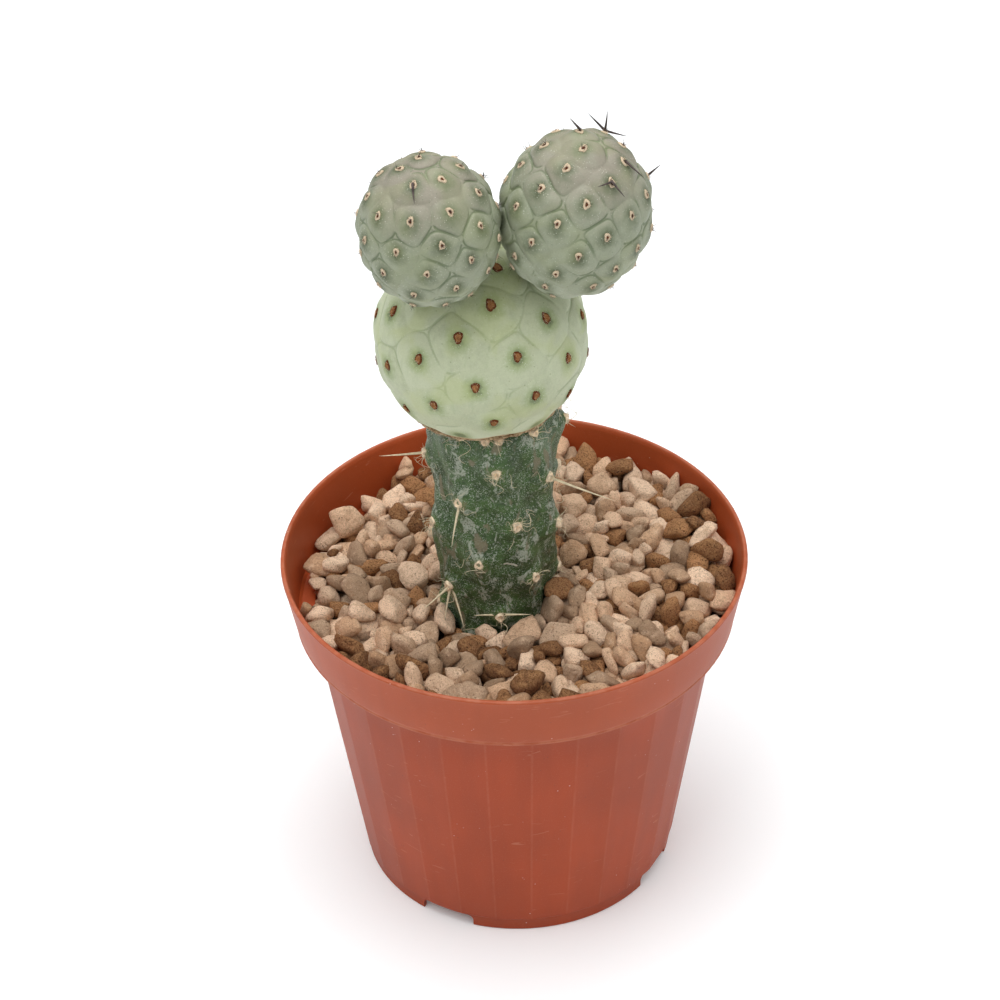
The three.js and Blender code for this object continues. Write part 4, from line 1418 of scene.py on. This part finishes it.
class Hairs:
    """Hair shapes and the node group that grows them."""

    def __init__(self):
        self.tree = hair_tree()
        share = np.linspace(-0.12, 1, 3)
        straight = np.stack([0.10 * share**2, 0 * share, share], -1)
        self.bristle = self.shape("bristle", straight, [0.045, 0.038, 0.004])
        share = np.linspace(-0.1, 1, 5)
        curl = np.stack([0.16 * np.sin(5 * share), 0.2 * (1 - np.cos(4 * share)), 0.8 * share], -1)
        self.curl = self.shape("curl", curl, np.linspace(0.036, 0.014, 5))
        share = np.linspace(-0.05, 1, 15)
        loose = np.stack([0.15 * np.sin(6 * share), 0.3 * np.sin(4 * share) ** 2, 0.7 * share], -1)
        self.thread = self.shape("thread", loose, np.linspace(0.013, 0.006, 15))

    def shape(self, name, path, radii):
        points, faces = strand(path, radii, 3)
        made = mesh_object(name, points, faces)
        bpy.context.scene.collection.objects.unlink(made)
        return made

    def grow(self, name, base, hair, where, per_mm2, spread, lengths, finish, seed):
        """A new piece of hairs that grow on a base mesh, their lengths in millimetres."""
        made = bpy.data.objects.new(name, base.data.copy())
        bpy.context.scene.collection.objects.link(made)
        return self.tree.apply(
            made,
            Hair=hair,
            Where=where,
            Density=per_mm2 / MM**2,
            Seed=seed,
            Spread=math.radians(spread),
            Shortest=float(lengths[0]),
            Longest=float(lengths[1]),
            Finish=finish,
        )

    def clear(self):
        drop(self.bristle, self.curl, self.thread)


def rib_turn(settings, z, top):
    """Turn of the first rib's edge at a height."""
    drop_to = top - settings.first_drop / MM - z
    return settings.first_turn + settings.rib_twist * drop_to / (settings.areole_step / MM)


def stem_areoles(settings, top, lowest):
    """Turns and heights of the areoles on the rootstock."""
    places = []
    count = settings.rib_count
    step = settings.areole_step / MM
    for rib in range(count):
        for row in range(-2, 6):
            z = top - settings.first_drop / MM - step * (3 * rib / count + row)
            if lowest < z < top - 3:
                turn = rib_turn(settings, z, top) + rib * 2 * math.pi / count
                places.append((turn, z))
    return np.array(places)


def roots_below(node, level):
    """The buried part of the rootstock's CAD node, cut off flat at a height."""
    roots = copy_of_node(node)
    shape = bmesh.new()
    shape.from_mesh(roots.data)
    parts = [*shape.verts, *shape.edges, *shape.faces]
    cut = Vector((0, 0, level * MM))
    bmesh.ops.bisect_plane(shape, geom=parts, plane_co=cut, plane_no=(0, 0, 1), clear_outer=True)
    bmesh.ops.holes_fill(shape, edges=shape.edges)
    bmesh.ops.triangulate(shape, faces=shape.faces)
    shape.to_mesh(roots.data)
    shape.free()
    return roots


def make_rootstock(settings):
    """The stock: an eight-ribbed column with humps under its areoles. Also gives its areoles."""
    node = "rootstock_stem"
    points = node_points(node)
    axis = stem_axis()
    top = node_box(node)[1][2]
    foot = FOOT_OF_STEM
    spread = np.hypot(*(points - axis)[:, :2].T)
    column = points[:, 2] > foot - 3
    levels = np.unique(points[column, 2].round(1))
    widest = [spread[np.abs(points[:, 2] - level) < 0.15].max() for level in levels]
    rows, columns = 250, 256
    z = np.linspace(foot, top, rows)
    turns = np.linspace(0, 2 * math.pi, columns, endpoint=False)
    z, turns = (grid.ravel() for grid in np.meshgrid(z, turns, indexing="ij"))
    radius = np.interp(z, levels, widest)
    phase = settings.rib_count * (turns - rib_turn(settings, z, top))
    ridge = (0.5 + 0.5 * np.cos(phase)) ** 0.8
    flat = around(radius, turns, z)
    places = stem_areoles(settings, top, foot)
    middles = around(np.interp(places[:, 1], levels, widest), places[:, 0], places[:, 1])
    gaps = np.linalg.norm(flat[:, None] - middles[None], axis=-1)
    nearest = gaps.argmin(1)
    areole = gaps.min(1)
    above = z - places[nearest, 1]
    hump = np.exp(-((areole / 4.2) ** 2))
    notch = np.exp(-(((above - 3.2) / 1.5) ** 2)) * np.exp(-((areole / 4.5) ** 2))
    rough = 0.50 * grain(flat, 0.13, 4) + 0.30 * grain(flat, 0.36, 6) + 0.08 * grain(flat, 1.2, 9)
    growth = 1.0 * (ridge - 0.5) + 1.15 * hump - 0.55 * notch + rough - 0.25
    skin = around(radius + growth, turns, z)
    slant = (turns - SCAR_TURN) * 13 + (z - SCAR_HEIGHT) * 0.35
    scar = smoothstep(np.abs(slant), 1.7, 1.2)
    scar *= smoothstep(np.abs(z - SCAR_HEIGHT + slant * 0.2), 0.42, 0.2)
    ends = [[0, 0, foot], [0, 0, top]]
    values = {"ridge": ridge, "areole": np.minimum(areole, 9), "scar": scar}
    values = {key: np.append(value, [0, 0]) for key, value in values.items()}
    skin = np.concatenate([skin, ends]) + axis
    column = mesh_object("column", skin, capped(rows, columns), **values)
    roots = roots_below(node, foot + 0.5)
    made = joined("rootstock", [column, roots])
    made.data.polygons.foreach_set("use_smooth", [True] * len(made.data.polygons))
    made.data.materials.append(stem_finish(settings))
    settle(made, "rootstock_skin", node)
    ridges = np.interp(places[:, 1], levels, widest) + 0.9
    sites = around(ridges + 0.2, places[:, 0], places[:, 1]) + axis
    outward = around(np.ones(len(places)), places[:, 0], 0 * places[:, 1])
    return sites, outward, axis, top


def make_callus(lower):
    """The ragged scar of the graft, out to the cut edge of the lower segment."""
    low, _ = node_box("graft_callus")
    share = (lower.foot - lower.centre[2]) / lower.half[2]
    edge = lower.half[0] * math.sqrt(1 - share**2)
    columns = 240
    turns = np.linspace(0, 2 * math.pi, columns, endpoint=False)
    foot = lower.foot
    profile = [(edge - 4, low[2] - 0.2), (edge - 0.35, foot - 0.65), (edge + 0.22, foot - 0.35)]
    profile += [(edge + 0.20, foot + 0.12), (edge - 0.3, foot + 0.3), (edge - 4, foot + 0.5)]
    rows = [around(radius, turns, z) for radius, z in profile]
    points = np.concatenate([*rows, [[0, 0, profile[0][1]], [0, 0, profile[-1][1]]]])
    wobble = 1 + 0.020 * grain(points, 0.55, 3) + 0.008 * grain(points, 2.0, 5)
    points = points * np.stack([wobble, wobble, np.ones(len(points))], -1)
    points[:, 2] += 0.22 * grain(points, 0.8, 7)
    points += (*lower.centre[:2], 0)
    faces = capped(len(profile), columns)
    made = mesh_object("graft_scar", points, faces, callus_finish())
    settle(made, "callus", "graft_callus")


def spine_ends(name):
    """Base and tip of a spine of the frame, and its radius at the base."""
    points = node_points(name)
    middle = points.mean(0)
    axis = np.linalg.svd(points - middle)[2][0]
    along = (points - middle) @ axis
    aside = np.linalg.norm(points - middle - along[:, None] * axis, axis=1)
    half = (along.max() + along.min()) / 2
    first, last = aside[along < half].max(), aside[along > half].max()
    if last > first:
        axis, along = -axis, -along
    base = middle + axis * along.min()
    return base, middle + axis * along.max(), max(first, last)


def make_spines(name, slot, finish, nodes, depth):
    """Smooth, slightly bowed spines in place of the frame's cones, rooted in their wool."""
    strands = []
    for i, node in enumerate(nodes):
        base, tip, radius = spine_ends(node)
        along = unit(tip - base)
        base = base - along * depth
        length = np.linalg.norm(tip - base)
        share = np.linspace(0, 1, 12)
        aside = unit(np.cross(along, (0.3, 0.2, 0.9)))
        bow = np.sin(share * math.pi) * length * 0.02 * (-1) ** i
        path = base + share[:, None] * (tip - base) + bow[:, None] * aside
        radii = radius * 0.95 * (1 - share) ** 0.75 + 0.015
        strands.append(strand(path, radii, 8))
    made = mesh_object(name, *gathered(strands), finish)
    settle(made, slot, *nodes)


def make_segments(settings, shapes):
    """The three segments, with their skins. Also gives their shapes."""
    lower, left, right = (Segment(node, sizes) for node, sizes in shapes.items())
    young = np.array(settings.halo[:3]) * (2.4, 2.5, 1.9)
    pale = skin_finish("pale_skin", settings.pale_skin, settings, young, 0.35, 3.6, 0.0, 0.4)
    halo = settings.halo
    grey = skin_finish("grey_skin", settings.grey_skin, settings, halo, 0.72, 3.0, 0.8, 0.25)
    made = make_segment(lower, 120, 0.42, 0.14)
    made.data.materials.append(pale)
    settle(made, "pale_skin", lower.node)
    for segment in (left, right):
        made = make_segment(segment, 120, 0.80, 0.26, lower)
        made.data.materials.append(grey)
        settle(made, "grey_skin", segment.node)
    return lower, left, right


def segment_places(segment, others, width, height, bulge):
    """Cushions of a segment's areoles, without the ones that another segment covers."""
    places = []
    out = segment.normals(segment.areoles)
    for point, direction, normal in zip(segment.seats, segment.areoles, out):
        swell = 1 + 0.2 * smoothstep(direction[2], 0.35, 0.8)
        covered = segment.grafted and point[2] < segment.foot + 2.5
        for other in others:
            local = (point - other.centre) @ other.turn
            covered = covered or np.linalg.norm(local / (other.half + 1.2)) < 1
        if not covered:
            rise = unit(UP - normal * normal[2])
            axes = (normal @ segment.turn.T, rise @ segment.turn.T)
            places.append((point, *axes, width * swell, height * swell, bulge))
    return places


def make_areoles(settings, segments):
    """Felt cushions, wool and bristles of the three segments."""
    lower, left, right = segments
    hairs = Hairs()
    felt = cushion_finish("areole_felt", settings.bristle, settings.wool, 0.28)
    dense = cushion_finish("dense_felt", settings.felt, settings.bristle, 0.5)
    wool = hair_finish("areole_wool", settings.wool, 0.25)
    rust = hair_finish("rust_bristle", settings.felt, 0.45)
    brown = hair_finish("brown_bristle", settings.bristle, 0.4)
    dark = hair_finish("dark_bristle", settings.dark, 0.4)
    low_places = segment_places(lower, (left, right), 0.90, 1.22, 0.36)
    top_places = segment_places(left, (lower, right), 0.58, 0.86, 0.28)
    top_places += segment_places(right, (lower, left), 0.62, 0.92, 0.30)
    low = cushions("lower_areoles", low_places, dense)
    high = cushions("upper_areoles", top_places, felt)
    pale = [
        low,
        high,
        hairs.grow("lower_wool", low, hairs.curl, "border", 5, 60, (0.35, 0.75), wool, 1),
        hairs.grow("upper_wool", high, hairs.curl, "border", 16, 60, (0.25, 0.6), wool, 2),
    ]
    for made in pale:
        settle(made, "straw_spine")
    dark_hairs = [
        hairs.grow("lower_bristles", low, hairs.bristle, "heart", 24, 38, (0.3, 0.6), rust, 3),
        hairs.grow("upper_bristles", high, hairs.bristle, "heart", 18, 45, (0.3, 0.6), brown, 4),
        hairs.grow("upper_spines", high, hairs.bristle, "heart", 2.6, 40, (0.9, 1.7), dark, 5),
    ]
    for made in dark_hairs:
        settle(made, "dark_spine")
    hairs.clear()


def make_tufts(settings, sites, outward, axis, top):
    """Wool balls, short bristles and loose hairs of the rootstock and the graft."""
    hairs = Hairs()
    wool = hair_finish("stem_wool", settings.wool, 0.25)
    straw = hair_finish("straw_bristle", settings.straw, 0.15)
    places = [(site, out, UP, 1.0, 1.25, 0.95) for site, out in zip(sites, outward)]
    graft_turns = np.radians([-58, -29, -7, 5, 38, 84, 131, 178, 226, 262])
    for i, turn in enumerate(graft_turns):
        out = around(1.0, turn, 0.0)
        site = axis + out * 14.0 + UP * (top - 1.0)
        places.append((site, out, UP, 0.9, 1.1 - 0.2 * (i % 2), 0.95))
    base = cushions("stem_wool_balls", places, wool)
    store(base.data, "all", np.ones(len(base.data.vertices)))
    tufts = [
        base,
        hairs.grow("stem_wool", base, hairs.curl, "all", 7, 80, (0.35, 0.8), wool, 11),
        hairs.grow("stem_bristles", base, hairs.bristle, "border", 0.45, 65, (1.0, 2.2), straw, 12),
        hairs.grow("stem_hairs", base, hairs.thread, "border", 0.5, 80, (3.0, 7.5), straw, 13),
    ]
    for made in tufts:
        settle(made, "straw_spine")
    hairs.clear()


# ---------------------------------------------------------------- stage


def make_stage(settings):
    """A pale floor, soft studio light and the camera."""
    # Painted light: the floor glows faintly, which lifts it and its shadows and throws a little
    # light on the pot.
    finish = Finish("pale_floor", Specular_IOR_Level=0.1, Emission_Strength=0.09)
    finish.shader.inputs["Emission Color"].default_value = (0.95, 1, 1, 1)
    tint = finish.noise(0.004, 1)
    floor_colour = finish.mix(tint * 0.05, (0.94, 0.955, 0.96), (0.91, 0.925, 0.93))
    far = 3000
    corners = [(-far, -far, 0), (far, -far, 0), (far, far, 0), (-far, far, 0)]
    floor = mesh_object("floor", corners, [(0, 1, 2, 3)], finish.finish(floor_colour, 0.9))

    make_sky(0.18, 0.88)
    bpy.context.scene.view_settings.view_transform = "Standard"

    add_light("key", (-0.50, -0.50, 1.35), 0.9, 5.8)
    add_light("fill", (0.75, -0.35, 1.0), 0.9, 1.6)
    add_light("top", (0.0, 0.15, 1.5), 1.2, 12.0)

    _, rim = node_box("pot")
    aim = np.array([0, 0, rim[2]]) * MM
    back = np.array([0, -math.cos(settings.elevation), math.sin(settings.elevation)])
    camera = bpy.data.cameras.new("camera")
    camera.lens = settings.lens
    camera.sensor_width = 36
    camera.clip_start = 0.01
    made = bpy.data.objects.new("camera", camera)
    bpy.context.scene.collection.objects.link(made)
    level = Matrix.Rotation(math.pi / 2 - settings.elevation, 3, "X")
    aside = Matrix.Rotation(settings.pan, 3, "Y") @ Matrix.Rotation(settings.tilt, 3, "X")
    turn = level @ aside @ Matrix.Rotation(settings.roll, 3, "Z")
    place = Matrix.Translation(aim + back * settings.distance) @ turn.to_4x4()
    made.matrix_world = place
    bpy.context.scene.camera = made


def make_sky(horizon, zenith):
    """Soft light from all round, stronger from above."""
    world = bpy.data.worlds.new("studio")
    world.use_nodes = True
    nodes, links = world.node_tree.nodes, world.node_tree.links
    background = nodes["Background"]
    background.inputs["Color"].default_value = (0.98, 0.99, 1.0, 1)
    direction = nodes.new("ShaderNodeTexCoord").outputs["Generated"]
    height = nodes.new("ShaderNodeSeparateXYZ")
    strength = nodes.new("ShaderNodeMapRange")
    strength.inputs["To Min"].default_value = horizon
    strength.inputs["To Max"].default_value = zenith
    links.new(direction, height.inputs[0])
    links.new(height.outputs["Z"], strength.inputs["Value"])
    links.new(strength.outputs[0], background.inputs["Strength"])
    bpy.context.scene.world = world


def add_light(name, place, side, power):
    """A square softbox aimed at the middle of the plant."""
    light = bpy.data.lights.new(name, "AREA")
    light.size = side
    light.energy = power
    made = bpy.data.objects.new(name, light)
    made.location = place
    aim = Vector((0, 0, 0.09)) - Vector(place)
    made.rotation_euler = aim.to_track_quat("-Z", "Y").to_euler()
    bpy.context.scene.collection.objects.link(made)


# ---------------------------------------------------------------- operators

grown = {}  # the segments' shapes and the rootstock's areoles, for the pieces set on them


class CACTUS_OT_pot(bpy.types.Operator):
    """Make the nursery pot"""

    bl_idname = "cactus.pot"
    bl_label = "Pot"

    def execute(self, context):
        make_pot(context.scene.cactus.pot)
        return {"FINISHED"}


class CACTUS_OT_gravel(bpy.types.Operator):
    """Pour the pumice and lava gravel, and finish the soil and the bed under it"""

    bl_idname = "cactus.gravel"
    bl_label = "Gravel and soil"

    def execute(self, context):
        settings = context.scene.cactus
        make_gravel(settings.gravel, PotSection(settings.pot))
        for name in ("potting_soil", "gravel_bed"):
            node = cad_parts[name]
            node.data.materials.clear()
            node.data.materials.append(soil_finish(name + "_crumbs"))
        return {"FINISHED"}


class CACTUS_OT_segments(bpy.types.Operator):
    """Grow the three round segments"""

    bl_idname = "cactus.segments"
    bl_label = "Segments"

    def execute(self, context):
        settings = context.scene.cactus
        shapes = {
            "scion_lower_segment": settings.lower,
            "scion_left_segment": settings.left,
            "scion_right_segment": settings.right,
        }
        grown["segments"] = make_segments(settings.plant, shapes)
        return {"FINISHED"}


class CACTUS_OT_rootstock(bpy.types.Operator):
    """Grow the ribbed rootstock"""

    bl_idname = "cactus.rootstock"
    bl_label = "Rootstock"

    def execute(self, context):
        grown["rootstock"] = make_rootstock(context.scene.cactus.plant)
        return {"FINISHED"}


class CACTUS_OT_callus(bpy.types.Operator):
    """Heal the graft between the rootstock and the lower segment"""

    bl_idname = "cactus.callus"
    bl_label = "Callus"

    def execute(self, context):
        make_callus(grown["segments"][0])
        return {"FINISHED"}


class CACTUS_OT_areoles(bpy.types.Operator):
    """Set the felt, wool and bristles on the segments"""

    bl_idname = "cactus.areoles"
    bl_label = "Areoles"

    def execute(self, context):
        make_areoles(context.scene.cactus.plant, grown["segments"])
        return {"FINISHED"}


class CACTUS_OT_tufts(bpy.types.Operator):
    """Set the wool, bristles and loose hairs on the rootstock"""

    bl_idname = "cactus.tufts"
    bl_label = "Wool tufts"

    def execute(self, context):
        make_tufts(context.scene.cactus.plant, *grown["rootstock"])
        return {"FINISHED"}


class CACTUS_OT_spines(bpy.types.Operator):
    """Set the straw spines of the rootstock and the dark spines of the segments"""

    bl_idname = "cactus.spines"
    bl_label = "Spines"

    def execute(self, context):
        settings = context.scene.cactus.plant
        names = sorted(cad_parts)
        straw = hair_finish("straw_spine", settings.straw, 0.15)
        stems = [name for name in names if name.startswith("stem_spine")]
        make_spines("straw_spines", "straw_spine", straw, stems, 1.4)
        dark = hair_finish("dark_spine", settings.dark, 0.4)
        thorns = [name for name in names if "_thorn_" in name]
        make_spines("dark_spines", "dark_spine", dark, thorns, 0.8)
        return {"FINISHED"}


class CACTUS_OT_stage(bpy.types.Operator):
    """Set up the floor, the lights and the camera"""

    bl_idname = "cactus.stage"
    bl_label = "Stage"

    def execute(self, context):
        make_stage(context.scene.cactus.stage)
        return {"FINISHED"}


class CACTUS_PT_panel(bpy.types.Panel):
    """Lists the settings and the pieces"""

    bl_label = "Potted cactus"
    bl_space_type = "VIEW_3D"
    bl_region_type = "UI"
    bl_category = "Cactus"

    def draw(self, context):
        settings = context.scene.cactus
        for group in ("pot", "gravel", "plant", "lower", "left", "right", "stage"):
            box = self.layout.box()
            values = getattr(settings, group)
            for key in values.bl_rna.properties.keys():
                if key not in ("rna_type", "name"):
                    box.prop(values, key)
        for operator in OPERATORS:
            self.layout.operator(operator.bl_idname)


SEGMENTS = (LowerSettings, LeftSettings, RightSettings)
SETTINGS = (PotSettings, GravelSettings, PlantSettings, *SEGMENTS, StageSettings, CactusSettings)
OPERATORS = (
    CACTUS_OT_pot,
    CACTUS_OT_gravel,
    CACTUS_OT_segments,
    CACTUS_OT_rootstock,
    CACTUS_OT_callus,
    CACTUS_OT_areoles,
    CACTUS_OT_tufts,
    CACTUS_OT_spines,
    CACTUS_OT_stage,
)


def register():
    for cls in (*SETTINGS, *OPERATORS, CACTUS_PT_panel):
        bpy.utils.register_class(cls)
    bpy.types.Scene.cactus = PointerProperty(type=CactusSettings)


def unregister():
    del bpy.types.Scene.cactus
    for cls in (CACTUS_PT_panel, *reversed(OPERATORS), *reversed(SETTINGS)):
        bpy.utils.unregister_class(cls)


def main():
    """Makes every piece round the frame and notes the sizes."""
    register()
    for operator in OPERATORS:
        group, name = operator.bl_idname.split(".")
        getattr(getattr(bpy.ops, group), name)()


if __name__ == "__main__":
    main()
